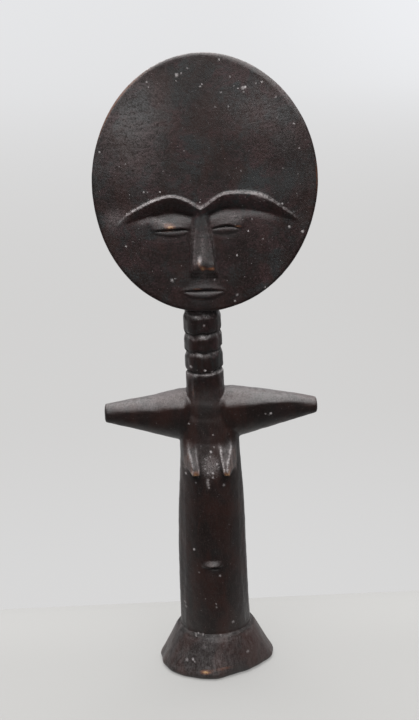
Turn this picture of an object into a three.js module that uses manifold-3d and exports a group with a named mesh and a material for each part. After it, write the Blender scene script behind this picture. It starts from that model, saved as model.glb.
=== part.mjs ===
// Akuaba figure: a flat oval head on a ringed neck, two stub arms, a column body and a flared foot,
// carved from one piece of dark stained wood. Millimetres, +Z up, the face looks towards -Y.
import * as THREE from "three";
import { mergeVertices } from "three/addons/utils/BufferGeometryUtils.js";
import Module from "manifold-3d";

const wasm = await Module();
wasm.setup();

// Driving dimensions
const HEIGHT = 351.2;
const HEAD_HALF_WIDTH = 61;
const HEAD_HALF_HEIGHT = 69.3;
const HEAD_LEAN_BACK = THREE.MathUtils.degToRad(10);
const HEAD_LEAN_ASIDE = THREE.MathUtils.degToRad(3.2);
const HEAD_OFF_AXIS = 4.4;
const HEAD_FORWARD = 5;
const FACE_CROWN = 6.6;
const FACE_FALL = 1.4;
const FACE_MARK = { u: 0.1, v: -1.3 };
const BACK_CROWN = 7.6;
const NECK_RADIUS = 10.5;
const NECK_TOP = 212.6;
const NECK_GROOVES = [201.2, 190.9, 179.2];
const NECK_GROOVE_DEPTH = 1;
const SHOULDER_HEIGHT = 152.8;
const ARM_REACH = { left: 57, right: 62.2 };
const ARM_ROOT = { halfHeight: 15, halfDepth: 12.8 };
const ARM_TIP = { halfHeight: 4.8, halfDepth: 5.2 };
const BODY_RADIUS = 20;
const FOOT_RADIUS = 33.2;
const FOOT_SHELF = 23.3;

// Facets round each turned form
const COLUMN_SIDES = 44;
const HEAD_SIDES = 88;
const BALL_SIDES = 20;
const BALL_ROWS = 10;

// 0 below low, 1 above high, and an even swing between them
const ease = (value, low, high) => THREE.MathUtils.smoothstep(value, low, high);
const mix = THREE.MathUtils.lerp;

// One closed ring of points in the level plane z, with its own half width and half depth
function levelRing(z, x, y, halfWidth, halfDepth) {
  return Array.from({ length: COLUMN_SIDES }, (_, i) => {
    const turn = (2 * Math.PI * i) / COLUMN_SIDES;
    return new THREE.Vector3(x + halfWidth * Math.cos(turn), y + halfDepth * Math.sin(turn), z);
  });
}

// A closed skin over rings of equal length, with a fan over each end
function loft(rings) {
  const sides = rings[0].length;
  const centre = (ring) => ring.reduce((sum, p) => sum.add(p), new THREE.Vector3()).divideScalar(sides);
  const points = [...rings.flat(), centre(rings[0]), centre(rings.at(-1))];
  const first = rings.length * sides;
  const faces = [];
  for (let i = 0; i < sides; i++) {
    const next = (i + 1) % sides;
    for (let r = 0; r < rings.length - 1; r++) {
      const [a, b, c, d] = [r * sides + i, r * sides + next, (r + 1) * sides + i, (r + 1) * sides + next];
      faces.push(a, b, d, a, d, c);
    }
    faces.push(first, next, i);
    faces.push(first + 1, (rings.length - 1) * sides + i, (rings.length - 1) * sides + next);
  }
  const geometry = new THREE.BufferGeometry().setFromPoints(points);
  geometry.setIndex(faces);
  return geometry;
}

// A geometry as a solid that can be joined and cut
function solid(geometry) {
  const bare = geometry.clone();
  bare.deleteAttribute("normal");
  bare.deleteAttribute("uv");
  const merged = mergeVertices(bare, 1e-4);
  return new wasm.Manifold(
    new wasm.Mesh({
      numProp: 3,
      vertProperties: new Float32Array(merged.attributes.position.array),
      triVerts: new Uint32Array(merged.index.array),
    }),
  );
}

// A solid as a geometry again
function geometryOf(made) {
  const mesh = made.getMesh();
  const geometry = new THREE.BufferGeometry();
  geometry.setAttribute("position", new THREE.BufferAttribute(mesh.vertProperties, 3));
  geometry.setIndex(new THREE.BufferAttribute(mesh.triVerts, 1));
  geometry.computeVertexNormals();
  return geometry;
}

// Foot: a flared cone with a rounded rim, worn back at its front right, under a narrow shelf
function footRings() {
  const SOLE_RADIUS = 30.8;
  const profile = [
    [0, SOLE_RADIUS],
    [0.5, 32.1],
    [1.9, FOOT_RADIUS],
    [3.4, 32.6],
    [6.8, 30.6],
    [13.6, 27.1],
    [20.4, 23.8],
    [FOOT_SHELF, 22.3],
    [FOOT_SHELF + 0.6, 21.4],
  ];
  const FRONT_SHARE = 0.93;
  const WEAR = 0.16;
  const WEAR_AT = THREE.MathUtils.degToRad(-50);
  const WEAR_SPREAD = THREE.MathUtils.degToRad(34);
  return profile.map(([z, radius]) => {
    const low = Math.max(1 - z / FOOT_SHELF, 0);
    return levelRing(z, 0, 0, radius, radius * mix(1, FRONT_SHARE, low)).map((p) => {
      const turn = Math.atan2(p.y, p.x) - WEAR_AT;
      const worn = 1 - WEAR * low ** 2 * Math.exp(-((turn / WEAR_SPREAD) ** 4));
      return new THREE.Vector3(p.x * worn, p.y * worn, p.z);
    });
  });
}

// Body: a column that narrows and thins towards the shoulders and closes inside the neck
function bodyRings() {
  const LEVELS = [FOOT_SHELF + 1, 50, 72, 86, 97, 106, 115, 124, 132, 139, 145];
  const TAPER = 0.012;
  const NARROWING = { by: 1.9, from: 88, to: 130 };
  const THINNING = { by: 5.8, from: 116, to: 146 };
  const LEAN = { by: 1.1, from: 60, to: 136 };
  const CLOSING = [
    [151, 15.4, 12.2],
    [157, 12.4, 10.6],
    [163, 9.4, 8.6],
  ];
  const rings = LEVELS.map((z) => {
    const radius = BODY_RADIUS - TAPER * (z - FOOT_SHELF);
    const shift = ({ by, from, to }) => by * ease(z, from, to);
    return levelRing(z, shift(LEAN), 0, radius - shift(NARROWING), radius - shift(THINNING));
  });
  return [...rings, ...CLOSING.map(([z, wide, deep]) => levelRing(z, 0, 0, wide, deep))];
}

// Neck: bulging rings between sharp grooves, planed flat in front below them, with a spur up the back
function neckRings() {
  const FOOT = 148;
  const FLAT_FRONT = -9.5;
  const FLAT_ENDS = [12, 4];
  const STEPS = 4;
  const SPUR = [
    [NECK_TOP, 0.4, 9.2, 9.2],
    [222, 1.8, 8.6, 8],
    [232, 3.6, 6.8, 5.6],
    [242, 5, 4.6, 3.2],
    [250, 5.6, 2.4, 1.2],
  ];
  const lowest = NECK_GROOVES.at(-1);
  const planed = [FOOT, ...FLAT_ENDS.map((down) => lowest - down)].map((z) =>
    levelRing(z, 0, 0, NECK_RADIUS, NECK_RADIUS).map((p) => p.setY(Math.max(p.y, FLAT_FRONT))),
  );
  const rings = [];
  const marks = [NECK_TOP, ...NECK_GROOVES];
  for (let i = marks.length - 1; i > 0; i--)
    for (let step = 0; step < STEPS; step++) {
      const share = step / STEPS;
      const bulge = Math.sqrt(4 * share * (1 - share));
      const radius = NECK_RADIUS - NECK_GROOVE_DEPTH * (1 - bulge);
      rings.push(levelRing(mix(marks[i], marks[i - 1], share), 0, 0, radius, radius));
    }
  return [...planed, ...rings, ...SPUR.map(([z, y, wide, deep]) => levelRing(z, 0, y, wide, deep))];
}

// Shoulders and arms: one bar that tapers to two blunt cut ends, its section a rounded diamond
function armRings() {
  const SIDES = 36;
  const ROOT = 15;
  const TIP_RISE = 1.9;
  const END_ROUNDING = 1.6;
  const RIDGE = 1.2;
  const SHARES = [0, 0.33, 0.66, 1];
  const corner = (value) => Math.sign(value) * Math.abs(value) ** RIDGE;
  const stations = [];
  for (const [side, reach] of [
    [-1, ARM_REACH.left],
    [1, ARM_REACH.right],
  ]) {
    const arm = SHARES.map((share) => [side * mix(ROOT, reach - END_ROUNDING, share), share, 1]);
    arm.push([side * (reach - END_ROUNDING / 3), 1, 0.94], [side * reach, 1, 0.72]);
    stations.push(...arm);
  }
  stations.sort((a, b) => a[0] - b[0]);
  return stations.map(([x, share, shrink]) => {
    const halfHeight = mix(ARM_ROOT.halfHeight, ARM_TIP.halfHeight, share) * shrink;
    const halfDepth = mix(ARM_ROOT.halfDepth, ARM_TIP.halfDepth, share) * shrink;
    const z = SHOULDER_HEIGHT + TIP_RISE * share;
    return Array.from({ length: SIDES }, (_, i) => {
      const turn = (2 * Math.PI * i) / SIDES;
      const y = halfDepth * corner(Math.cos(turn));
      return new THREE.Vector3(x, y, z + halfHeight * corner(Math.sin(turn)));
    });
  });
}

// One hanging breast: a wedge whose flat front lies between an outer and an inner ridge and ends in a
// blunt tip. A level is its height, how far across its outer foot, two ridges and inner foot lie, and
// how far forward its front stands.
function breast(side) {
  const LEVELS = {
    left: [
      [146, -14.6, -11.8, -6.2, -4.6, 12.8],
      [138, -15.4, -10.9, -6.9, -4.5, 16.8],
      [132, -15.6, -9.9, -6.5, -4.2, 19.2],
      [126.5, -14.4, -8.9, -5.6, -4.2, 21.4],
      [124, -12, -9.2, -5.5, -4.6, 22],
      [122.2, -9.8, -9.4, -5.7, -5.2, 21.4],
    ],
    right: [
      [146, 15.6, 13.2, 6, 4.6, 12.8],
      [139, 16, 12.7, 6.9, 4.6, 16.6],
      [132, 16.2, 11.4, 7.4, 4.6, 19.2],
      [126.5, 15.6, 10.2, 8.2, 5.2, 21.3],
      [124, 14, 10.8, 8.3, 6.4, 21.8],
      [122.5, 12.6, 12, 8.2, 7.6, 21.3],
    ],
  };
  const FEET = { outer: -5.5, inner: -11, buried: -4 };
  const rings = LEVELS[side].map(([z, outerFoot, outerRidge, innerRidge, innerFoot, front]) => {
    const corners = [
      [outerFoot, FEET.outer],
      [outerRidge, -front],
      [innerRidge, -front],
      [innerFoot, FEET.inner],
      [(outerFoot + innerFoot) / 2, FEET.buried],
    ];
    return corners.map(([x, y]) => new THREE.Vector3(x, y, z));
  });
  return loft(side === "left" ? rings.reverse() : rings.map((ring) => ring.reverse()).reverse());
}

// Navel: a small four-sided point, its upper slope long and its underside short
function navel() {
  const AT = { x: -0.4, z: 67.2 };
  const HALF_WIDTH = 4.9;
  const LEVELS = [
    { y: -16, share: 1.5, drop: 0 },
    { y: -18.8, share: 1.08, drop: 0 },
    { y: -22.2, share: 0.16, drop: 1.2 },
  ];
  const RIM = [
    [-HALF_WIDTH, 0.2],
    [0.4, -2.6],
    [HALF_WIDTH, 0.2],
    [0, 3],
  ];
  const ring = ({ y, share, drop }) =>
    RIM.map(([x, z]) => new THREE.Vector3(AT.x + x * share, y, AT.z + z * share - drop));
  return loft(LEVELS.map(ring));
}

// Head plate: an oval with a crowned face and back, turned about its own normal, which is +Y here.
// Its rim isn't quite true: it swells slightly three times round.
function headPlate() {
  const SWELL = 0.005;
  const profile = [
    [0, -BACK_CROWN],
    [0.84, -BACK_CROWN + 1.7],
    [0.95, -5],
    [0.985, -3.6],
    [1, -1.2],
    [1, 2.2],
    [0.995, 3.7],
    [0.984, 4.7],
    [0.965, FACE_CROWN - FACE_FALL],
    [0.6, FACE_CROWN - 0.5],
    [0, FACE_CROWN],
  ];
  const outline = profile.map(([share, height]) => new THREE.Vector2(share, height));
  const geometry = new THREE.LatheGeometry(outline, HEAD_SIDES);
  const points = geometry.attributes.position;
  for (let i = 0; i < points.count; i++) {
    const swell = 1 + SWELL * Math.cos(3 * Math.atan2(-points.getZ(i), points.getX(i)));
    points.setX(i, points.getX(i) * swell);
    points.setZ(i, points.getZ(i) * swell);
  }
  geometry.scale(HEAD_HALF_WIDTH, 1, HEAD_HALF_HEIGHT);
  return geometry;
}

// Places on the face are across u, up v and out w, measured from a mark a little under the plate's middle.
const facePoint = (u, v, w) => new THREE.Vector3(u + FACE_MARK.u, w, -v - FACE_MARK.v);

// Height of the plain face over the plate's middle plane
function faceLevel(u, v) {
  const [across, up] = [u + FACE_MARK.u, v + FACE_MARK.v];
  const share = Math.min(Math.hypot(across / HEAD_HALF_WIDTH, up / HEAD_HALF_HEIGHT), 1);
  return FACE_CROWN - FACE_FALL * share ** 2;
}

// One brow: a steep step up from the forehead to a ridge, then a slope down to the eye socket
function brow(upperEdge) {
  const STATIONS = 20;
  const STEP_HEIGHT = 2.8;
  const END_HEIGHT = 0.3;
  const STEP_RUN = 0.4;
  const HALF_WAY_DOWN = { across: 0.5, rise: 0.72 };
  const LOW_EDGE = 0.1;
  const ROOT_WIDTH = 6.4;
  const END_WIDTH = 2.2;
  const SWELL = 4.2;
  const BURIED = -2;
  const curve = new THREE.CubicBezierCurve(...upperEdge.map(([u, v]) => new THREE.Vector2(u, v)));
  const rings = Array.from({ length: STATIONS + 1 }, (_, i) => {
    const share = i / STATIONS;
    const top = curve.getPoint(share);
    const along = curve.getTangent(share);
    const down = along.x < 0 ? [-along.y, along.x] : [along.y, -along.x];
    const width = mix(ROOT_WIDTH, END_WIDTH, share) + SWELL * Math.sin(Math.PI * share);
    const height = END_HEIGHT + STEP_HEIGHT * (1 - share ** 4);
    const at = (across, rise) => {
      const [u, v] = [top.x + down[0] * across, top.y + down[1] * across];
      return facePoint(u, v, faceLevel(u, v) + rise);
    };
    return [
      at(-STEP_RUN / 2, BURIED),
      at(0, 0),
      at(STEP_RUN, height),
      at(width * HALF_WAY_DOWN.across, height * HALF_WAY_DOWN.rise),
      at(width, LOW_EDGE),
      at(width, BURIED),
    ];
  });
  const runsRight = upperEdge[3][0] > 0;
  return loft(runsRight ? rings : rings.map((ring) => ring.reverse()));
}

// Nose: a flat-fronted wedge that widens and stands out downwards to a cut-off underside
function nose() {
  const BURIED = -2;
  const FOOT_RISE = 0.03;
  const SHOULDER = { inward: 0.35, rise: 0.62 };
  const STATIONS = [
    { v: -12.5, u: -1.7, halfBase: 2.6, halfRidge: 1.2, height: 2.6, forward: 0 },
    { v: -18, u: -1.6, halfBase: 3.5, halfRidge: 1.9, height: 3.1, forward: 0 },
    { v: -30, u: -0.4, halfBase: 4.9, halfRidge: 2.9, height: 4.4, forward: 0.5 },
    { v: -40, u: -0.2, halfBase: 6, halfRidge: 3.4, height: 5.2, forward: 1.2 },
    { v: -45.2, u: 0, halfBase: 6.7, halfRidge: 3.6, height: 5.7, forward: 1.8 },
    { v: -47, u: 0.2, halfBase: 6.9, halfRidge: 3.2, height: 5.2, forward: 2.4 },
  ];
  const rings = STATIONS.map(({ v, u, halfBase, halfRidge, height, forward }) => {
    const at = (across, share) =>
      facePoint(u + across, v + forward * share, faceLevel(u, v) + height * share);
    const buried = (across) => facePoint(u + across, v, faceLevel(u, v) + BURIED);
    const shoulder = mix(halfBase, halfRidge, SHOULDER.inward);
    return [
      buried(halfBase),
      at(halfBase, FOOT_RISE),
      at(shoulder, SHOULDER.rise),
      at(halfRidge, 1),
      at(-halfRidge, 1),
      at(-shoulder, SHOULDER.rise),
      at(-halfBase, FOOT_RISE),
      buried(-halfBase),
    ];
  });
  return loft(rings);
}

// A swelling on the face: a flattened ball, sunk so that it stands out by its rise
function swelling({ u, v, halfWidth, halfHeight, rise }) {
  const SUNK = 1.4;
  const geometry = new THREE.SphereGeometry(1, BALL_SIDES, BALL_ROWS);
  geometry.rotateX(Math.PI / 2);
  geometry.scale(halfWidth, rise + SUNK, halfHeight);
  const at = facePoint(u, v, faceLevel(u, v) - SUNK);
  geometry.translate(at.x, at.y, at.z);
  return geometry;
}

// A pointed crescent slit between two arcs that meet at its corners, cut down to the plain face
function slit({ u, v, halfWidth, top, bottom }) {
  const CURVE_STEPS = 10;
  const REACH = 12;
  const outline = new THREE.Shape();
  outline.moveTo(-halfWidth, 0);
  outline.quadraticCurveTo(0, 2 * top, halfWidth, 0);
  outline.quadraticCurveTo(0, 2 * bottom, -halfWidth, 0);
  const options = { depth: REACH, bevelEnabled: false, curveSegments: CURVE_STEPS };
  const geometry = new THREE.ExtrudeGeometry(outline, options);
  geometry.rotateX(-Math.PI / 2);
  const at = facePoint(u, v, faceLevel(u, v));
  geometry.translate(at.x, at.y, at.z);
  return geometry;
}

// The face, in the plate's own frame
function carvedHead() {
  const BROWS = [
    [[-2.2, -10.5], [-16.1, -2.5], [-29.8, -4], [-46, -20.5]],
    [[-2.2, -10.5], [15.8, 3.5], [26.3, 1.7], [50, -16]],
  ];
  const SWELLINGS = [
    { u: -17.6, v: -20.6, halfWidth: 14.6, halfHeight: 6.6, rise: 2.2 },
    { u: -17.4, v: -25.9, halfWidth: 12.2, halfHeight: 3, rise: 1.3 },
    { u: 13.6, v: -18, halfWidth: 13.6, halfHeight: 6.6, rise: 2.2 },
    { u: 13.2, v: -23.6, halfWidth: 11, halfHeight: 3, rise: 1.3 },
    { u: 0.5, v: -53.6, halfWidth: 14, halfHeight: 7.2, rise: 2.6 },
    { u: 0.5, v: -58, halfWidth: 11.8, halfHeight: 2.8, rise: 2.2 },
  ];
  const SLITS = [
    { u: -17.6, v: -25, halfWidth: 11.4, top: 2.3, bottom: 0.7 },
    { u: 13.2, v: -22.5, halfWidth: 10.2, top: 2.6, bottom: 0.7 },
    { u: 0.5, v: -57.2, halfWidth: 10.3, top: 2.2, bottom: 0.7 },
  ];
  let head = solid(headPlate());
  for (const edge of BROWS) head = head.add(solid(brow(edge)));
  for (const ball of SWELLINGS) head = head.add(solid(swelling(ball)));
  for (const cut of SLITS) head = head.subtract(solid(slit(cut)));
  return head.add(solid(nose()));
}

// The head in its place: turned upright, leaned back and leaned aside, over the neck
function headInPlace() {
  const RIM_ROUNDING = 0.5;
  const spot = new THREE.Object3D();
  const upright = new THREE.Quaternion().setFromEuler(new THREE.Euler(Math.PI - HEAD_LEAN_BACK, 0, 0));
  const aside = new THREE.Quaternion().setFromAxisAngle(new THREE.Vector3(0, 1, 0), HEAD_LEAN_ASIDE);
  spot.quaternion.multiplyQuaternions(aside, upright);
  const tall = HEAD_HALF_HEIGHT * Math.cos(HEAD_LEAN_BACK) * Math.cos(HEAD_LEAN_ASIDE);
  spot.position.set(HEAD_OFF_AXIS, HEAD_FORWARD, HEIGHT - tall - RIM_ROUNDING);
  spot.updateMatrix();
  return geometryOf(carvedHead()).applyMatrix4(spot.matrix);
}

// The whole carving
function figure() {
  let made = solid(loft([...footRings(), ...bodyRings()]));
  made = made.add(solid(loft(armRings())));
  made = made.add(solid(loft(neckRings())));
  for (const side of ["left", "right"]) made = made.add(solid(breast(side)));
  made = made.add(solid(navel()));
  return made.add(solid(headInPlace()));
}

const stainedWood = new THREE.MeshStandardMaterial({ color: 0x2b2120, roughness: 0.42, metalness: 0 });
const akuaba = new THREE.Mesh(geometryOf(figure()), stainedWood);
akuaba.name = "akuaba_figure";

const part = new THREE.Group();
part.add(akuaba);

export default part;
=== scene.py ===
"""Akuaba figure carved from one block of dark stained wood: flat oval head, ringed neck, stub arms,
column body and flared foot. Metres, +Z up, the face looks towards -Y. The tables of sizes and of marks
are in millimetres, and the stage's in metres. Right and left are as seen in the picture."""

import math

import bpy
import numpy as np
from mathutils import Color, Euler, Matrix, Vector


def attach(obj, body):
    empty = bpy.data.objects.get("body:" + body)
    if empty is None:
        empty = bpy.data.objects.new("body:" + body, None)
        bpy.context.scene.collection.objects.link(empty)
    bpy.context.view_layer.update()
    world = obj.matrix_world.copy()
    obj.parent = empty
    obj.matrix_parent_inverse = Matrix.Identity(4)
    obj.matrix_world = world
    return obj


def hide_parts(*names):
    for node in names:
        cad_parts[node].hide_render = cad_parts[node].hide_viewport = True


bl_info = {
    "name": "Akuaba figure",
    "version": (1, 0, 0),
    "blender": (4, 5, 0),
    "location": "View3D > Sidebar > Akuaba",
    "description": "Carves a dark stained akuaba figure, piece by piece, and sets it on a pale stage",
    "category": "Object",
}

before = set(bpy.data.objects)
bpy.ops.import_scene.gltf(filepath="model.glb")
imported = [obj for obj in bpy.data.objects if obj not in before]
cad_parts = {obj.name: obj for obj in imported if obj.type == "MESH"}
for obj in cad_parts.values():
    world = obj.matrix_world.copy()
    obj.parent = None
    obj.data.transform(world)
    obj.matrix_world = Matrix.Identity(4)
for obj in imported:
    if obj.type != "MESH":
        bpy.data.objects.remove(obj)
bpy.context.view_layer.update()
MM = 0.001
# Grid of the blanks' skins, most triangles in the finished skin, and steps in which smoothing sets in
BLANK_GRID = 0.5 * MM
MOST_TRIANGLES = 190000
SOFT_STEPS = 8

# Foot: height over the floor and radius, from the sole up to the shelf
FOOT_PROFILE = [
    (0, 30.8), (0.5, 32.1), (1.9, 33.2), (3.4, 32.6), (6.8, 30.6), (13.6, 27.1), (20.4, 23.7),
    (22.6, 22.2), (23.2, 21.6), (23.5, 21), (23.6, 20.6),
]
# The shelf's height and how far from the axis it begins, and the sole's depth as a share of its width
FOOT_SHELF = 23.3
SHELF_START = 19.5
FOOT_FRONT_SHARE = 0.93
# Worn places round the sole: share of the radius lost, turn in degrees, reach and how sharply they end
FOOT_WORN = [(0.13, -52, 32, 4), (-0.025, -138, 22, 2)]

# Body: height, shift to the right, half width and half depth
BODY_RINGS = [
    (24.4, 0, 20.2, 20.2), (50, 0, 19.7, 19.7), (72, 0.1, 19.4, 19.4), (86, 0.4, 19.2, 19.2),
    (97, 0.6, 18.9, 19.1), (106, 0.8, 18.4, 19), (115, 0.95, 17.8, 18.9), (120, 1, 17.4, 18.5),
    (124, 1.05, 17.2, 17.8), (128, 1.1, 16.9, 16.7), (132, 1.1, 16.8, 15.5), (139, 1.1, 16.7, 13.6),
    (145, 1.1, 16.6, 12.9), (151, 0, 15.4, 12.2), (157, 0, 12.4, 10.6), (163, 0, 9.4, 8.6),
]

# How far the flat-fronted chest stands forward of those rings, by height. Its outline gets squarer
# between the two heights given: a power of 2 is an ellipse
CHEST_SQUARE = (126, 140)
CHEST = [(124, 0), (128, 0.4), (132, 0.5), (139, 0.4), (145, 0.2), (151, 0.3), (157, 0.6), (163, 0.6)]

# A long facet is planed down either side of the body and the neck, this many degrees round from the
# front, and this many degrees wide to either side of its middle
FACET_TURN = 64
BODY_FACET = 9
NECK_FACET = 10
# The body's facets set in over the foot and run out at the breasts, each between two heights
FACET_START = (25, 27)
FACET_END = (122, 112)

# Neck: the cut grooves by height, how much they climb to the right, how far each one slopes in from
# above and from beneath, and the height under which the neck is carved. The blank's last rings are the
# spur that runs up the back of the head
NECK_GROOVES = [212.9, 201.2, 190.9, 179.2]
GROOVE_SLANT = 0.05
GROOVE_ABOVE = 1.3
GROOVE_BENEATH = 3.1
NECK_TOP = 214.5
# At the grooves' heights, the neck is all that lies this near the axis
NECK_REACH = 11.5
# The plain neck's rings: height, shift to the back, half width and half depth
NECK_RINGS = [
    (146, 0, 10.5, 10.5), (160, 0, 10.5, 10.5), (190, 0, 10.5, 10.5), (212.6, 0, 10.5, 10.5),
    (215, 0.6, 9.3, 9.3), (222, 1.8, 8.6, 8), (232, 3.6, 6.8, 5.6), (242, 5, 4.6, 3.2),
    (250, 5.6, 2.4, 1.2),
]

# The neck's foot is squarer and flows down into the chest: height and how far forward its front stands
NECK_FOOT = [(146, 12.9), (150, 12.3), (160, 11.3), (165, 9.9), (172, 8.9), (175, 9.2), (178, 10.4)]
NECK_FOOT_HALF_WIDTH = 10.4

# Arms: place along X, height of the middle, half depth and half height
ARM_RINGS = [
    (-57, 154.9, 3.6, 3.5), (-56.5, 155, 4.8, 5.1), (-55.4, 154.9, 5.2, 5.4), (-42, 154.1, 7.7, 8.4),
    (-28, 152.9, 10.3, 11.5), (-15, 152.4, 12.8, 14.8), (-12, 152.5, 12.8, 14.9),
    (-8.5, 152.5, 12.8, 14.9), (7, 152.7, 12.8, 15), (11, 152.7, 12.8, 15), (15, 152.8, 12.8, 15.1),
    (30, 153.6, 10.3, 11.9), (45, 154.3, 7.9, 8.6), (60.6, 154.7, 5.2, 4.7), (61.7, 154.7, 4.8, 4.3),
    (62.2, 154.7, 3.6, 3.2),
]

# The crease where the arms' rounded top meets their front: place along X and share of the half height
ARM_CREASE = [(-57, 0.1), (-45, 0.3), (-30, 0.41), (-15, 0.5), (15, 0.41), (30, 0.48), (45, 0.55), (62, 0.1)]

# Breasts: height, how far across the outer foot, outer ridge, inner ridge and inner foot lie, and how far
# forward the flat front between the ridges stands
BREASTS = {
    "left": [
        (121, -9.8, -9.4, -5.7, -5.2, 20.8), (122.2, -9.8, -9.4, -5.7, -5.2, 21.2),
        (124, -12, -9.2, -5.5, -4.6, 21.5), (126.5, -14.4, -8.9, -5.6, -4.2, 20.4),
        (132, -15.6, -9.9, -6.5, -4.2, 17.4), (137.5, -15.4, -10.9, -6.9, -4.5, 14.5),
        (146, -15.4, -11.8, -6.2, -4, 12.9),
    ],
    "right": [
        (119.8, 12.6, 12, 8.4, 7.8, 20.5), (121.3, 12.6, 11.8, 8.4, 7.8, 20.9),
        (123.5, 14, 10.8, 8.3, 6.8, 21.2), (126.5, 15.6, 10.4, 8.1, 5.4, 20),
        (132, 16.2, 11.7, 7.3, 4.6, 17.1), (138, 16, 13, 6.6, 4.4, 14.3), (146, 16, 13.6, 6, 4, 12.9),
    ],
}
# How deep the flat fronts are hollowed, and the lower edge of each breast: place across and height
BREAST_HOLLOW = 0.45
BREAST_ENDS = {
    "left": [
        (-16, 128.5), (-14.5, 126.6), (-12, 124), (-9.8, 122.2), (-5.6, 122.2), (-4.6, 124.5), (-4, 128),
    ],
    "right": [
        (4, 129), (5, 126), (6.8, 123), (8.4, 121.4), (12.4, 121.2), (14.2, 123), (15.8, 126), (17, 129.5),
    ],
}
# Navel: place across and how far its ledge stands out, the height of the ledge's edge, how far above
# it the ledge runs out into the body, and the height of the notch under it
NAVEL = [(-6.6, 0), (-5.4, 0.9), (-3, 2.0), (-0.4, 2.5), (1.8, 2.4), (3.6, 1.8), (4.8, 1.0), (5.6, 0)]
NAVEL_EDGE = 66.9
NAVEL_RISE = 3.4
NAVEL_NOTCH = NAVEL_EDGE - 1.7

# Above this height, what lies in front of the head plate's middle is the plate
HEAD_FOOT = 205
# Head plate: share of the oval's half size, and height over the plate's middle, from back to front
HEAD_RINGS = [
    (0.02, -7.6), (0.4, -7.2), (0.84, -5.9), (0.95, -5), (0.985, -3.6), (1, -1.2), (1, 4.5), (0.996, 4.95),
    (0.98, 5.3), (0.6, 6.1), (0.02, 6.6),
]
FACE_CROWN = 6.6
FACE_FALL = 1.4
# As the plate leans back, its front edge stands this far over the oval's own top
RIM_OVER = 0.5 * MM
# The rim isn't quite true: it swells slightly three times round
RIM_SWELL = 0.005
# The rim is worn rounder at its upper right: turn and reach in degrees, and depth
RIM_WORN = (57, 22)
RIM_WORN_DEPTH = 1.2
# Places on the face are measured from a mark a little under the plate's middle: u across to the right,
# v up the face and w out of it
FACE_MARK = (0.1, -1.3)

# The brows meet at this place across the face
BROW_MEETING = -2.2
# Brow line by place across the face: upper edge, ridge, lower edge and the ridge's height
BROWS = {
    "left": [
        (-48.5, -23, -23.3, -26, 0), (-46, -20.5, -20.9, -24, 0.35), (-43, -17.2, -17.9, -21.8, 0.9),
        (-39, -13.9, -15, -19.6, 1.8), (-35, -11.6, -12.7, -18.2, 2.4), (-30, -9, -9.9, -16.9, 2.8),
        (-25, -6.9, -7.8, -15.9, 2.9), (-20, -5.7, -6.3, -14.8, 2.9), (-17, -5.6, -6.1, -14.5, 2.9),
        (-12, -6.8, -7.3, -15.2, 2.9), (-8, -8.5, -9.1, -16.1, 2.9), (-5, -10.2, -11, -17, 2.8),
        (-2.2, -11.8, -12.7, -17.8, 2.7),
    ],
    "right": [
        (-2.2, -11.8, -12.7, -17.8, 2.7), (2, -8.8, -9.8, -16, 2.8), (5, -6.4, -7.4, -14.4, 2.9),
        (7.5, -4.8, -5.7, -13.1, 2.9), (10, -3.7, -4.5, -12.4, 3), (15, -2.7, -3.8, -11.8, 3),
        (20, -2.2, -3.8, -11.7, 3), (25, -2.4, -4.2, -12.2, 3), (30, -3.3, -5.4, -13, 2.9),
        (35, -5.6, -7.3, -13.9, 2.6), (38, -8, -8.7, -14.8, 2.2), (42, -10.8, -11.4, -16, 1.6),
        (46, -13.4, -14.1, -17.4, 0.9), (50, -16.4, -16.8, -19, 0.2), (52, -18, -18.3, -20, 0),
    ],
}

# Eyes by place across the face: upper lid's edge, lower lid's ridge and the foot of the ridge
EYES = {
    "left": [
        (-28.5, -24.6, -25, -25.4), (-26, -24.5, -25.9, -26.7), (-22, -24, -26.4, -27.7),
        (-16, -23.3, -26.5, -28.2), (-12, -23.1, -26, -27.6), (-9, -23.6, -25.2, -26.2),
        (-7.5, -24.2, -24.8, -25.2),
    ],
    "right": [
        (3, -23.2, -23.5, -23.8), (5, -22.5, -24.1, -25.5), (8, -21.6, -24, -26.5),
        (12, -20.9, -23.7, -26.8), (15.5, -21.2, -23.5, -26.1), (18.5, -22.1, -23.4, -24.7),
        (21, -22.9, -23.2, -23.5),
    ],
}
# Height across an eye: 0 at the brow's foot, 1 at the lid's edge, 2 at the lower lid's ridge, 3 at its foot
EYE_PROFILE = [
    (0, -0.9), (0.15, -0.8), (0.35, -0.3), (0.6, 0.4), (0.8, 0.95), (0.93, 1.3), (1, 1.2), (1.08, 0),
    (1.2, -1), (1.34, -0.7), (1.5, 0), (1.9, 0.35), (2.1, 0.4), (2.4, 0.15), (2.7, -0.15), (3.2, -0.1),
    (3.8, 0),
]

# The right eye's lids stand out by only this share of the profile
RIGHT_EYE_RISE = 0.75
# The eyes stay above the first of these places up the face, and the mouth below the second
EYES_FOOT = -32
MOUTH_TOP = -46

# Mouth by place across the face: top of the swelling, upper lip's edge, lower lip's ridge and its foot
MOUTH = [
    (-12.5, -56, -57.6, -57.8, -58), (-10.5, -54, -57.1, -58.2, -58.8), (-8.5, -52.2, -56.8, -59, -60),
    (-5, -50.3, -56.4, -59.8, -61.4), (0, -49.6, -56, -60.1, -61.9), (4, -49.6, -55.8, -59.8, -61.5),
    (7, -50.5, -56, -59, -60.4), (9.5, -52.4, -56.4, -58.1, -59), (11.5, -54.3, -56.8, -57.6, -58.1),
    (12.5, -55.6, -57.1, -57.4, -57.6),
]
MOUTH_PROFILE = [
    (0, 0), (0.3, 0.06), (0.6, 0.3), (0.85, 0.7), (1, 0.7), (1.08, -0.4), (1.18, -0.9), (1.32, -0.4),
    (1.5, 0.2), (1.85, 0.65), (2.05, 0.7), (2.4, 0.4), (2.8, 0), (3.2, -0.1), (3.8, 0),
]

# Two edges of a lid or a lip count as at least this far apart
LEAST_GAP = 0.05

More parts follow.
